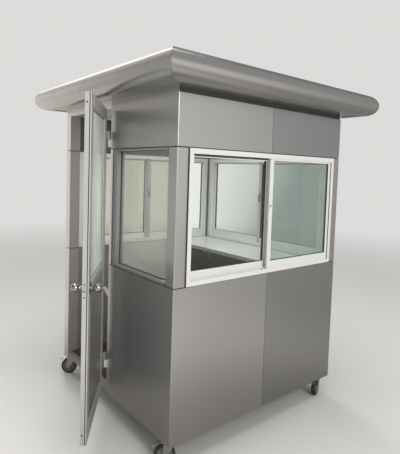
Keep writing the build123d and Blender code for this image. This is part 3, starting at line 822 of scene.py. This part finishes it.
def crescent_latch(sashes):
    """The latch on the inner sash's meeting stile, and the pull on the outer sash's."""
    u = MIDDLE + SASH_OVERLAP - MEETING_STILE / 2
    v = INNER_SASH + SASH_THICK
    z = LATCH_HEIGHT
    plate = v + 5 * MM
    sashes.slab((u - 9 * MM, v, z - 36 * MM), (u + 9 * MM, plate, z + 36 * MM), 1.5 * MM, STAINLESS)
    boss = mm((0, 0), (14, 0), (15, 1), (15, 7), (12, 9), (0, 9))
    sashes.turned(boss, (u, plate, z), INTO, 24, STAINLESS)
    lever = mm((-5, 0), (5, 0), (7, -40), (4, -46), (-4, -46), (-7, -40))
    lever = [(u + a, z + b) for a, b in lever]
    sashes.run(lever, v + 7 * MM, v + 15 * MM, "xzy", 2 * MM, STAINLESS)
    for rise in (-29 * MM, 29 * MM):
        sashes.screw((u, plate, z + rise), INTO, 3.2 * MM, STAINLESS)
    pull = (MIDDLE - SASH_OVERLAP + MEETING_STILE / 2, OUTER_SASH, z)
    cup = mm((0, -0.5), (7, -0.5), (7, 1), (5.4, 1.4), (5, 0.6), (0, 0.6))
    sashes.turned(cup, pull, OUT, 20, STAINLESS)
    # The pull's hollow is a dark disc: painted shade
    sashes.turned(disc(3 * MM, 0.9 * MM), pull, OUT, 12, BLACK_PARTS_AND_HOLE_SHADE)


def slider_blocks(sashes):
    """Small black guides at the meeting stiles' feet, and the stops and screws at the sash's corners."""
    sill, head = BAND_BOTTOM + FRAME_SILL, BAND_TOP - FRAME_BAR
    jamb = PLAN - WALL - FRAME_BAR
    track = 1 * MM - FRAME_PROUD
    guides = (
        ((MIDDLE - 30 * MM, OUTER_SASH - 1 * MM, sill + 22 * MM), (7, 3, 10)),
        ((MIDDLE + 2 * MM, INNER_SASH - 4 * MM, sill + 8 * MM), (7, 5, 12)),
        ((MIDDLE - 66 * MM, track, sill), (7, 6, 6)),
        ((MIDDLE - 24 * MM, track, sill), (6, 6, 5)),
        ((jamb - 8 * MM, track, sill), (9, 6, 8)),
    )
    for low, size in guides:
        sashes.slab(low, [a + b * MM for a, b in zip(low, size)], 0.6 * MM, BLACK_PARTS_AND_HOLE_SHADE)
    for u, radius in ((jamb - JAMB_STILE / 2, 3.4 * MM), (MIDDLE - SASH_OVERLAP + 9 * MM, 2.6 * MM)):
        sashes.screw((u, OUTER_SASH, head - 9 * MM), OUT, radius, STAINLESS)
    for top in (head - 2 * MM, head - 17 * MM):
        sashes.slab((jamb - 4 * MM, track, top - 5 * MM), (jamb, OUTER_SASH, top), 0.4 * MM, BLACK_PARTS_AND_HOLE_SHADE)


def side_window():
    """The fixed light beside the door: a deep jamb with a dark seal in it, and a channelled sill."""
    bars = Piece("left_window_extrusions", SIDE_BAR)
    jamb, bead, head, groove = 62 * MM, 10 * MM, 12 * MM, 20 * MM
    deep, gap = 60 * MM, 0.4 * MM
    low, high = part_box("left_window_pane")
    face = low.x - LEFT
    behind = face + PANE_THICK
    near, far = low.y - FRONT, high.y - FRONT
    bottom, top = low.z, high.z
    y0, y1 = WALL, WINDOW_END
    start, end = y0 + bead + gap, y1 - jamb - gap
    bars.slab((0, y1 - jamb, BAND_BOTTOM), (deep, y1 - groove, BAND_TOP))
    bars.slab((13 * MM, y1 - groove, BAND_BOTTOM), (deep, y1, BAND_TOP), 0, SEAL)
    bars.slab((30 * MM, y0, BAND_BOTTOM), (deep, y0 + bead, BAND_TOP))
    # Sill with a dark channel between its outer edge and the pane
    outer, inner, channel = 18 * MM, 29 * MM, bottom - 9 * MM
    sill = [(0, BAND_BOTTOM), (deep, BAND_BOTTOM), (deep, bottom), (inner, bottom), (inner, channel),
            (outer, channel), (outer, bottom), (0, bottom)]
    bars.run(sill, start, end, "xzy", 0.6 * MM)
    bars.slab((outer, start, channel), (inner, end, bottom - 2 * MM), 0, SEAL)
    bars.slab((0.3 * MM, start, BAND_BOTTOM + MM), (inner, y0 + 66 * MM, bottom + 1 * MM), finish=PALE_BAR)
    bars.slab((0, start, BAND_TOP - head), (deep, end, BAND_TOP))
    # Gaskets on both faces of the pane
    place = shift(0, PLAN, 0) @ spin(-QUARTER, "Z")
    outside = [(0, face - 5 * MM), (1.6 * MM, face - 1 * MM), (1.6 * MM, face), (0, face)]
    inside = [(0, behind), (2 * MM, behind), (0, behind + 5 * MM)]
    for strip in (outside, inside):
        bars.surround(PLAN - far, PLAN - near, bottom, top, strip, 0.3 * MM, SEAL, place=place)
    bars.done("booth", "grey_aluminium", "left_window_frame")
    pane = Piece("left_window_glass", SIDE_GLASS)
    bite = 2 * MM
    pane.slab((face, near - bite, bottom - bite), (behind, far + bite, top + bite), 0.4 * MM)
    pane.done("booth", "glass", "left_window_pane")


# Roof

def fascia_outline():
    """Section of the half-round fascia as (out from the wall, up)."""
    low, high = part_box("front_fascia")
    nose = (high.z - low.z) / 2
    centre = (FRONT - low.y - nose, low.z + nose)
    sheet = 2.5 * MM
    lip_back, lip_top, flange_back = 85 * MM, low.z + 14 * MM, -20 * MM
    outline = [(lip_back, lip_top), (lip_back, low.z)]
    outline += arc(centre, nose, -90, 90, 28)
    outline += [(flange_back, high.z), (flange_back, high.z - sheet)]
    outline += arc(centre, nose - sheet, 90, -90, 28)
    return outline + [(lip_back + sheet, low.z + sheet), (lip_back + sheet, lip_top)]


def shrink(points, by):
    """An outline moved in by a little, by its own normals."""
    moved = []
    count = len(points)
    area = sum(points[i - 1][0] * points[i][1] - points[i][0] * points[i - 1][1] for i in range(count))
    way = 1 if area > 0 else -1
    for i, (a, b) in enumerate(points):
        before, after = points[i - 1], points[(i + 1) % count]
        du, dv = after[0] - before[0], after[1] - before[1]
        length = math.hypot(du, dv) or 1
        moved.append((a - way * by * dv / length, b + way * by * du / length))
    return moved


def fascia():
    """A length of fascia on each side, and the dark backing of the open mitres between them."""
    outline = fascia_outline()
    gap, half = 0.9 * MM, 1.5 * MM
    for side in SIDES:
        length = Piece(side + "_fascia_sheet", ROOF_SILVER, side_place(side))
        length.run(outline, gap, PLAN - gap, "yzx", 0.5 * MM, slopes=(-1, 1), place=FLIP)
        length.done("booth", "cladding", side + "_fascia")
    backing = Piece("fascia_corner_seams", SEALANT)
    inside = shrink([(-out, up) for out, up in outline], 1.2 * MM)
    seam = [(out * math.sqrt(2), up) for out, up in inside]
    for number in range(4):
        backing.run(seam, -half, half, "yzx", 0, place=quarter_turns(number) @ spin(-QUARTER / 2, "Z"))
    backing.done("booth", "rubber")


def soffit():
    """Flat sheets under the eaves, mitred at the corners."""
    low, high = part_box("soffit")
    edge, back = low.y - FRONT, 15 * MM
    under = Piece("soffit_sheets", ROOF_SILVER)
    outline = [(edge, low.z), (back, low.z), (back, high.z), (edge, high.z)]
    under.run_round_booth(outline, 0.4 * MM, gap=0.5 * MM)
    under.done("booth", "cladding", "soffit")


def roof_deck():
    """Three roof sheets with raised laps, rows of capped screws and a bead of sealant at the edge."""
    low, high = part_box("roof_deck")
    top = high.z
    deck = Piece("roof_sheets", ROOF_SILVER)
    sheets, screws = 3, 9
    wide, ease = PLAN / sheets, 0.8 * MM
    lap_end, first_screw = 25 * MM, 60 * MM
    step = (PLAN - 2 * first_screw) / (screws - 1)
    rise = 1.5 * MM
    cap = mm((0, 0), (7, 0), (7, 1.2), (4, 1.6), (4, 2.4), (0, 2.4))
    for i in range(sheets):
        x = i * wide
        deck.slab((x, 0, low.z), (x + wide, PLAN, top - rise), ease)
        if i:
            lap = [(x + a, top + b) for a, b in mm((-22, -1.5), (22, -1.5), (14, 1.5), (-14, 1.5))]
            deck.run(lap, lap_end, PLAN - lap_end, "xzy", ease)
            for n in range(screws):
                deck.turned(cap, (x, first_screw + n * step, top + rise), UP, 6, ZINC)
    bead = [(a, top + b) for a, b in mm((20, 2), (20, -2), (29, -2), (23.6, 1))]
    deck.run_round_booth(bead, ease, SEALANT)
    deck.done("booth", "cladding", "roof_deck")


def roof_edge_strips():
    """The ring frame, hidden but for the set-back strip over the front and back panels, drawn near black as
    a painted shade under the soffit.
    """
    finishes = frame["nodes"]["roof_frame"].data.materials
    finishes.clear()
    finishes.append(STRIP_PAINTED_SHADE)


# Door

def leaf_outline(wide):
    """Section of a leaf bar as (inwards, through the leaf): groove in the edge, beads at the pane."""
    bead, slope, back = wide - 9 * MM, 7 * MM, LEAF_THICK
    groove0, groove1 = EDGE_GROOVE
    deep = 6 * MM
    return [
        (0, 0), (bead, 0), (wide, slope), (wide, back - slope), (bead, back), (0, back),
        (0, groove1), (deep, groove1), (deep, groove0), (0, groove0),
    ]


def leaf():
    """Two stiles and three rails, a pane above the middle rail and a panel below it. The bars are drawn
    along the leaf from its hinge edge."""
    bars = Piece("door_leaf_bars", LEAF_SILVER, LEAF @ spin(QUARTER, "Z") @ FLIP)
    gap, ease = 0.25 * MM, 0.7 * MM
    z0, z1 = LEAF_BOTTOM, LEAF_TOP
    left, right = STILE + gap, LEAF_WIDTH - STILE - gap
    lengths = (
        (STILE, z1 - z0, shift(0, 0, z1) @ spin(QUARTER, "Y")),
        (STILE, z1 - z0, shift(LEAF_WIDTH, 0, z0) @ spin(-QUARTER, "Y")),
        (BOTTOM_RAIL, right - left, shift(left, 0, z0)),
        (TOP_RAIL, right - left, shift(right, 0, z1) @ spin(2 * QUARTER, "Y")),
    )
    for wide, length, place in lengths:
        bars.run(leaf_outline(wide), 0, length, "zyx", ease, place=place)
    low, high = MID_RAIL
    bead, slope, back = 9 * MM, 6 * MM, LEAF_THICK
    rail = [(low, slope), (low + bead, 0), (high - bead, 0), (high, slope),
            (high, back - slope), (high - bead, back), (low + bead, back), (low, back - slope)]
    bars.run(rail, left, right, "zyx", ease)
    # Gaskets round the glass and the panel
    glass = (high, z1 - TOP_RAIL, 3 * MM)
    panel = (z0 + BOTTOM_RAIL, low, 10 * MM)
    for bottom, top, half in (glass, panel):
        for way in (-1, 1):
            face, proud = back / 2 + way * half, back / 2 + way * (half + 1.5 * MM)
            strip = [(0, face), (3 * MM, face), (3 * MM, proud), (0, proud)]
            bars.surround(STILE, LEAF_WIDTH - STILE, bottom, top, strip, 0, SEAL, 0)
    groove0, groove1 = EDGE_GROOVE
    bars.slab((LEAF_WIDTH - 5.8 * MM, groove0, z0 + MM), (LEAF_WIDTH - 3 * MM, groove1, z1 - MM), 0, SEAL)
    lock_edge(bars)
    bars.done("door", "door_aluminium", "door_frame")
    pane = leaf_filling("door_leaf_glass", DOOR_GLASS, *glass, 0.4 * MM)
    pane.done("door", "glass", "door_glass")
    sheet = leaf_filling("door_leaf_panel", LEAF_PANEL, *panel, 0.8 * MM)
    sheet.done("door", "door_aluminium", "door_panel")


def leaf_filling(name, finish, bottom, top, half, ease):
    """The pane or the panel, held in the bars all round."""
    filling = Piece(name, finish, LEAF)
    middle, bite = LEAF_THICK / 2, 2 * MM
    filling.slab((middle - half, STILE - bite, bottom - bite),
                 (middle + half, LEAF_WIDTH - STILE + bite, top + bite), ease)
    return filling


def lock_edge(bars):
    """Lock plate, latch bolt and screws in the leaf's edge, and the access holes near its ends. The holes
    are flat dark discs, a painted shade, and the plate's screws are near black too.
    """
    edge = LEAF_WIDTH
    middle, half = (EDGE_GROOVE[1] + LEAF_THICK) / 2, 10.5 * MM
    bars.slab((edge - MM, middle - half, 1005 * MM), (edge + 0.8 * MM, middle + half, 1112 * MM), 0.3 * MM)
    bolt = mm((0, 0), (7.5, 0), (7.5, 1.6), (6.3, 2.8), (0, 2.9))
    bars.turned(bolt, (edge, middle, 1059 * MM), ALONG, 24, STAINLESS)
    lock_hole = mm((0, 0), (2.6, 0), (2.6, 1.4), (0, 1.6))
    plate_screw = mm((0, 0), (4.2, 0), (4.2, 0.95), (0, 1))
    access_hole = mm((0, -1), (5, -1), (5, 0.25), (0, 0.3))
    for profile, steps, heights in ((lock_hole, 16, (1079,)), (plate_screw, 20, (1094, 1025)),
                                    (access_hole, 20, (2060, 260))):
        for height in heights:
            bars.turned(profile, (edge, middle, height * MM), ALONG, steps, BLACK_PARTS_AND_HOLE_SHADE)


def knobs():
    """Ball knobs on both faces, on stepped roses, with the keys left in the outer one."""
    place = LEAF @ shift(0, LEAF_WIDTH - KNOB_BACKSET, KNOB_HEIGHT)
    roses = Piece("door_knob_roses", STAINLESS, place)
    balls = Piece("door_knob_balls", STAINLESS, place)
    rose = mm((12, 0), (31, 0), (31, 1.2), (29.5, 2.6), (24, 4), (19, 6), (12, 6), (12, 0))
    radius, stand, squat = 26 * MM, 43 * MM, 0.96
    neck = mm((0, 0), (11, 0), (11, 8), (10, 12), (11.5, 17))
    angles = [math.radians(a) for a in range(-60, 60, 10)]
    ball = [(radius * math.cos(t), stand + radius * math.sin(t) * squat) for t in angles]
    lock = [(r, stand + h) for r, h in mm((12, 22.4), (9.5, 22.8), (9, 22), (0, 22))]
    for foot, way in ((0, -1), (LEAF_THICK, 1)):
        roses.turned(rose, (foot, 0, 0), (way, 0, 0), 40)
        balls.turned(neck + ball + lock, (foot + way * 0.5 * MM, 0, 0), (way, 0, 0), 40)
    roses.done("door", "stainless", "door_roses")
    tip = -stand - 22.2 * MM
    # The keyway is a dark slab: painted shade
    balls.slab((tip - 3 * MM, -0.5 * MM, -2.6 * MM), (tip + 2.4 * MM, 0.5 * MM, 2.6 * MM), 0, BLACK_PARTS_AND_HOLE_SHADE)
    key(balls, shift(tip - 4 * MM), 6 * MM)
    for lean, out, side, drop in ((130, 30, 2.5, 18.5), (108, 24.5, -2.5, 24.5)):
        hang = shift(tip - out * MM, side * MM, -drop * MM) @ spin(math.radians(lean), "Y")
        key(balls, hang, 22 * MM)
    ring = arc((9 * MM, 0), 1 * MM, 0, 360, 8)
    balls.turned(ring, (tip - 19 * MM, 0, -6 * MM), (0.78, 0, -0.62), 24, KEY_METAL)
    balls.done("knobs", "stainless", "door_knobs")


def key(piece, place, blade):
    """A key with its bow along minus x from the shoulder and its blade along plus x."""
    bow = arc((-11 * MM, 0), 8.5 * MM, 30, 330, 14)
    outline = mm((0, 3), (0, -3)) + bow[::-1]
    piece.run(outline, -1 * MM, 1 * MM, "xzy", 0.4 * MM, KEY_METAL, place=place)
    piece.slab((-MM, -0.9 * MM, -3.6 * MM), (blade, 0.9 * MM, 3.6 * MM), 0.3 * MM, KEY_METAL, place)


def hinges():
    """Two lift-off hinges: the jamb half carries the pin, the leaf half drops over it."""
    jamb = Piece("hinge_jamb_plates", WHITE)
    # The leaf halves are grey rather than white: a painted shade for where they sit beside the wall
    leaf_half = Piece("hinge_leaf_plates", SIDE_BAR, LEAF @ shift(0, -LEAF_NEAR))
    pin_x, pin_y = -14 * MM, DOORWAY_NEAR + 2 * MM
    half, web, sheet, wide = 53 * MM, 7 * MM, 4 * MM, 20 * MM
    barrel = mm((0, 0), (5.5, 0), (7, 1.5), (7, 51.5), (5.5, 53), (0, 53))
    pin = mm((0, 0), (4, 0), (4, 41), (3, 43), (0, 43))
    outward = (-1, 0, 0)
    for bottom in (332 * MM, 1862 * MM):
        top = bottom + half
        z0 = top + 1 * MM
        z1 = z0 + half
        jamb.turned(barrel, (pin_x, pin_y, bottom), steps=28)
        jamb.turned(pin, (pin_x, pin_y, top), steps=20, finish=ZINC)
        jamb.slab((pin_x, pin_y - web, bottom + MM), (0, pin_y - MM, top - MM))
        jamb.slab((-sheet, DOORWAY_NEAR - wide, bottom), (0, pin_y - MM, top))
        leaf_half.turned(barrel, (pin_x, pin_y, z0), steps=28)
        leaf_half.slab((pin_x, LEAF_NEAR + MM, z0 + MM), (0, LEAF_NEAR + web, z1 - MM))
        leaf_half.slab((-sheet, LEAF_NEAR, z0), (0, LEAF_NEAR + wide, z1))
        for rise in (12 * MM, half / 2, half - 12 * MM):
            jamb.screw((-sheet, DOORWAY_NEAR - 13 * MM, bottom + rise), outward, 3.4 * MM, ZINC)
            leaf_half.screw((-sheet, LEAF_NEAR + 14 * MM, z0 + rise), outward, 3.4 * MM, ZINC)
    jamb.done("booth", "white_aluminium", "hinge_jamb_halves")
    leaf_half.done("door", "white_aluminium", "hinge_leaf_halves")


# Casters, each drawn with its swivel at the origin and its wheel trailing along x

CASTER_TURN = {"front_left": 150, "front_right": 200, "back_right": 160, "back_left": 138}
TRAIL = 38 * MM
WHEEL = 62.5 * MM
WHEEL_HALF = 15 * MM
FORK_HALF = 20.5 * MM
AXLE = shift(TRAIL, 0, WHEEL)


def both_faces(half):
    """A closed profile from the half of it on one face of the wheel."""
    return half + [(r, -h) for r, h in half[::-1]] + [half[0]]


def caster_wheel(corner, place):
    """A rubber tyre on a ribbed core, which turns on the axle."""
    wheel = Piece("wheel_" + corner, TYRE, place)
    crown = 6 * MM
    tread = mm((48, 13.5), (50, 15)) + arc((WHEEL - crown, WHEEL_HALF - crown), crown, 90, 0, 5)
    core = mm((20, 12), (22, 8), (43, 8), (46, 13), (48.5, 13))
    hub = mm((6.3, 19.5), (16, 19.5), (18, 18), (21, 12))
    for half, steps, finish in ((tread, 56, TYRE), (core, 56, WHEEL_CORE), (hub, 40, WHEEL_CORE)):
        wheel.turned(both_faces(half), (0, 0, 0), INTO, steps, finish, AXLE)
    ribs, thick = 8, 1.8 * MM
    for rib in range(ribs):
        turn = AXLE @ spin(2 * math.pi * rib / ribs, "Y")
        for low, high in ((-12 * MM, -7.5 * MM), (7.5 * MM, 12 * MM)):
            wheel.slab((19 * MM, low, -thick), (45 * MM, high, thick), 0.8 * MM, WHEEL_CORE, turn)
    wheel.done("wheel_" + corner, "rubber", "caster_wheel_" + corner)


def caster_fork(corner, place):
    """Two legs under the swivel bearing, with the brake pedal, and the axle with its nuts."""
    fork = Piece("fork_" + corner, ZINC, place)
    outer = FORK_HALF + 3 * MM
    shoulder, bottom = 135.5 * MM, 131.5 * MM
    heel, toe, boss = -20 * MM, 46 * MM, 17 * MM
    leg = [(heel, shoulder), (toe, shoulder), (TRAIL + boss, WHEEL)]
    leg += arc((TRAIL, WHEEL), 16 * MM, -20, -160, 10) + [(TRAIL - boss, WHEEL)]
    for v0, v1 in ((-outer, -FORK_HALF), (FORK_HALF, outer)):
        fork.run(leg, v0, v1, "xzy", 0.8 * MM)
    fork.slab((heel, -outer, bottom), (toe, outer, shoulder), 1.5 * MM)
    race = mm((8.3, 131.5), (24, 131.5), (28, 134.5), (28, 138.5), (25, 140.5), (8.3, 140.5), (8.3, 131.5))
    fork.turned(race, (0, 0, 0), steps=36)
    pedal = mm((40, 135.5), (80, 134), (112, 112), (110, 109.5), (79, 131), (40, 131.5))
    grip = mm((98, 122.5), (101, 124.5), (111, 117.5), (110.5, 113.5))
    for outline, half in ((pedal, 14 * MM), (grip, 12 * MM)):
        fork.run(outline, -half, half, "xzy", 1 * MM)
    nut = mm((0, 0), (8.5, 0), (9, 0.8), (9, 5.2), (8.2, 6), (0, 6))
    stud = mm((0, 0), (5, 0), (5, 1.5), (4, 2.4), (0, 2.4))
    for way in (-1, 1):
        axis, foot, tip = (0, way, 0), (0, way * outer, 0), (0, way * (outer + 5 * MM), 0)
        fork.turned(nut, foot, axis, 6, place=AXLE)
        fork.turned(disc(11 * MM, 1.2 * MM), foot, axis, 24, GALVANISED, AXLE)
        fork.turned(stud, tip, axis, 16, GALVANISED, AXLE)
    fork.turned(disc(6 * MM, outer, -outer), (0, 0, 0), INTO, 20, place=AXLE)
    fork.done("fork_" + corner, "zinc", "caster_fork_" + corner)


def casters():
    """A caster on each swivel joint, under a plate with four bolts."""
    plates = Piece("caster_top_plates", ZINC)
    pivots = {joint["name"]: joint["pos_m"] for joint in frame["joints"]}
    half_long, half_wide = 47 * MM, 42 * MM
    top, under = BASE_BOTTOM, BASE_BOTTOM - 4 * MM
    race = mm((0, 132), (8, 132), (8, 141), (24, 141), (29, 144)) + [(27 * MM, under), (0, under)]
    bolt = mm((0, 0), (7.5, 0), (7.5, 4.2), (6.5, 5), (0, 5))
    for corner, degrees in CASTER_TURN.items():
        x, y = pivots["swivel_" + corner][:2]
        place = shift(x, y) @ spin(math.radians(degrees), "Z")
        caster_fork(corner, place)
        caster_wheel(corner, place)
        x, y = x - LEFT, y - FRONT
        plates.slab((x - half_long, y - half_wide, under), (x + half_long, y + half_wide, top), 1 * MM)
        plates.turned(race, (x, y, 0), steps=36)
        for u in (x - 36 * MM, x + 36 * MM):
            for v in (y - 30 * MM, y + 30 * MM):
                plates.turned(bolt, (u, v, under), DOWN, 6, GALVANISED)
    plates.done("booth", "zinc", "caster_plates")


# Camera, light and floor

def camera():
    """Set at the angle of the reference view, found from the booth's own corners."""
    eye_spot = (-2.0214, -2.6776, 1.7174)
    yaw, pitch, roll = (math.radians(a) for a in (-39.3931, 3.5226, 1.8605))
    # In the view's own pixels: its width and height, the lens, and the point straight ahead of it
    wide, high = 400, 454
    focal, ahead_x, ahead_y = 433.18, 201.34, 198.26
    forward = Vector((-math.sin(yaw) * math.cos(pitch), math.cos(yaw) * math.cos(pitch), -math.sin(pitch)))
    level = Vector((math.cos(yaw), math.sin(yaw), 0))
    upright = level.cross(forward)
    right = math.cos(roll) * level + math.sin(roll) * upright
    up = -math.sin(roll) * level + math.cos(roll) * upright
    lens = bpy.data.cameras.new("camera")
    lens.sensor_fit = "HORIZONTAL"
    lens.sensor_width = 36
    lens.lens = focal / wide * lens.sensor_width
    lens.shift_x = (wide / 2 - ahead_x) / wide
    lens.shift_y = (ahead_y - high / 2) / wide
    lens.clip_end = 200
    eye = bpy.data.objects.new("camera", lens)
    turn = Matrix((right, up, -forward)).transposed().to_4x4()
    eye.matrix_world = Matrix.Translation(eye_spot) @ turn
    bpy.context.scene.collection.objects.link(eye)
    bpy.context.scene.camera = eye


def lamp(name, spot, target, size, power, colour=(1, 1, 1), mirrored=True):
    """A soft square lamp, aimed at a target."""
    light = bpy.data.lights.new(name, "AREA")
    light.shape = "RECTANGLE"
    light.size, light.size_y = size
    light.energy = power
    light.color = colour
    thing = bpy.data.objects.new(name, light)
    thing.visible_glossy = mirrored
    aim = (Vector(target) - Vector(spot)).to_track_quat("-Z", "Y")
    thing.matrix_world = Matrix.Translation(spot) @ aim.to_matrix().to_4x4()
    bpy.context.scene.collection.objects.link(thing)


# What stands round the booth, by bearing from the front, left, back and right to the front again
ROUND = (
    (0.00, (0.92, 0.91, 0.89, 1)),
    (0.11, (0.86, 0.85, 0.83, 1)),
    (0.25, (0.55, 0.54, 0.51, 1)),
    (0.36, (0.52, 0.50, 0.46, 1)),
    (0.42, (0.51, 0.49, 0.45, 1)),
    (0.455, (1.50, 1.40, 1.30, 1)),
    (0.51, (1.35, 1.26, 1.18, 1)),
    (0.54, (0.66, 0.64, 0.58, 1)),
    (0.597, (0.52, 0.51, 0.45, 1)),
    (0.607, (0.98, 0.97, 0.94, 1)),
    (0.630, (0.62, 0.62, 0.60, 1)),
    (0.645, (0.26, 0.28, 0.28, 1)),
    (0.78, (0.28, 0.29, 0.29, 1)),
    (0.843, (0.34, 0.34, 0.33, 1)),
    (0.868, (0.66, 0.65, 0.64, 1)),
    (0.90, (1.02, 1.00, 0.97, 1)),
    (1.00, (0.92, 0.91, 0.89, 1)),
)
# The same, from well above the horizon
OVERHEAD = (
    (0.00, (0.34, 0.34, 0.34, 1)),
    (0.42, (0.34, 0.34, 0.34, 1)),
    (0.48, (0.80, 0.74, 0.69, 1)),
    (0.515, (0.80, 0.75, 0.71, 1)),
    (0.532, (2.8, 2.75, 2.7, 1)),
    (0.558, (2.8, 2.75, 2.7, 1)),
    (0.575, (0.20, 0.20, 0.20, 1)),
    (0.70, (0.10, 0.10, 0.10, 1)),
    (0.80, (0.34, 0.34, 0.34, 1)),
    (1.00, (0.34, 0.34, 0.34, 1)),
)
BACKDROP = (0.72, 0.715, 0.70, 1)


def surroundings(f, toward):
    """The light that comes from a direction: pale walls, brighter before the booth, dimmer above."""
    split = [f.node("ShaderNodeSeparateXYZ", None, {0: toward}, axis) for axis in "XYZ"]
    bearing = f.node("ShaderNodeMath", {"operation": "ARCTAN2"}, {0: split[0], 1: split[1]})
    turn = bearing / (2 * math.pi) + 0.5
    walls = f.node("ShaderNodeValToRGB", {"stops": ROUND}, {0: turn})
    overhead = f.node("ShaderNodeValToRGB", {"stops": OVERHEAD}, {0: turn})
    light = f.blend(split[2].within(0.17, 0.36), walls, overhead)
    seen = f.node("ShaderNodeLightPath", None, None, "Is Camera Ray")
    return f.blend(seen, light, BACKDROP)


def studio():
    """The light from all round, and three lamps."""
    room = Finish("studio", bpy.data.worlds, "ShaderNodeOutputWorld", "Generated")
    light = surroundings(room, room.place)
    bpy.context.scene.world = room.done(room.node("ShaderNodeBackground", None, {0: light}))

    lamp("near_lamp", (-1.2, -5.4, 3.4), (0, -0.5, 1.2), (3.0, 2.4), 115, (1.0, 0.98, 0.95))
    lamp("top_lamp", (-0.6, -0.4, 6.0), (0, 0, 1.2), (4.0, 4.0), 140)
    lamp("room_lamp", (LEFT + MIDDLE, 0, 2.11), (LEFT + MIDDLE, 0, 0), (1.0, 1.0), 6, mirrored=False)


def studio_floor():
    """A wide round floor that fades into the light all round, with a soft glow in what it mirrors."""
    mesh = bpy.data.meshes.new("studio_floor")
    shape = bmesh.new()
    bmesh.ops.create_circle(shape, cap_ends=True, segments=96, radius=80)
    shape.to_mesh(mesh)
    shape.free()
    floor = bpy.data.objects.new("studio_floor", mesh)
    bpy.context.scene.collection.objects.link(floor)
    f = Finish("studio_floor")
    reach = f.node("ShaderNodeVectorMath", {"operation": "LENGTH"}, {0: f.place}, "Value")
    away = reach.within(3.0, 12.0)
    level = f.node("ShaderNodeVectorMath", {"operation": "NORMALIZE"}, {0: f.place})
    mirrored = f.node("ShaderNodeLightPath", None, None, "Is Glossy Ray")
    far_colour = f.blend(f.across("X").within(0.3, 2.6), (0.80, 0.77, 0.72, 1), (0.34, 0.33, 0.31, 1))
    dim = f.blend(reach.within(1.3, 2.4), (0.30, 0.28, 0.25, 1), far_colour)
    glow = mirrored * reach.within(1.4, 2.6) * (1 - f.across("X").within(0.3, 2.2) * 0.9)
    ground = f.coat(
        Base_Color=f.blend(mirrored, (0.88, 0.875, 0.86, 1), dim),
        Roughness=0.75,
        Emission_Color=f.blend(glow, (0, 0, 0, 1), (0.21, 0.205, 0.195, 1)),
        Emission_Strength=1.0,
    )
    far = f.node("ShaderNodeEmission", None, {"Color": surroundings(f, level)})
    fade = away * away * (3 - 2 * away)
    mesh.materials.append(f.done(f.node("ShaderNodeMixShader", None, {0: fade, 1: ground, 2: far})))


for side_name in SIDES:
    clad_wall(side_name)
corner_post("front_left_post", "front")
corner_post("front_right_post", "right")
corner_post("back_right_post", "back")
door_posts()
base_frame()
floor_boards()
threshold()
worktop()
ceiling()
for side_name in ("front", "right", "back"):
    sliding_window(side_name)
side_window()
fascia()
soffit()
roof_deck()
roof_edge_strips()
leaf()
knobs()
hinges()
casters()
camera()
studio()
studio_floor()

bpy.context.scene.view_settings.view_transform = "Standard"
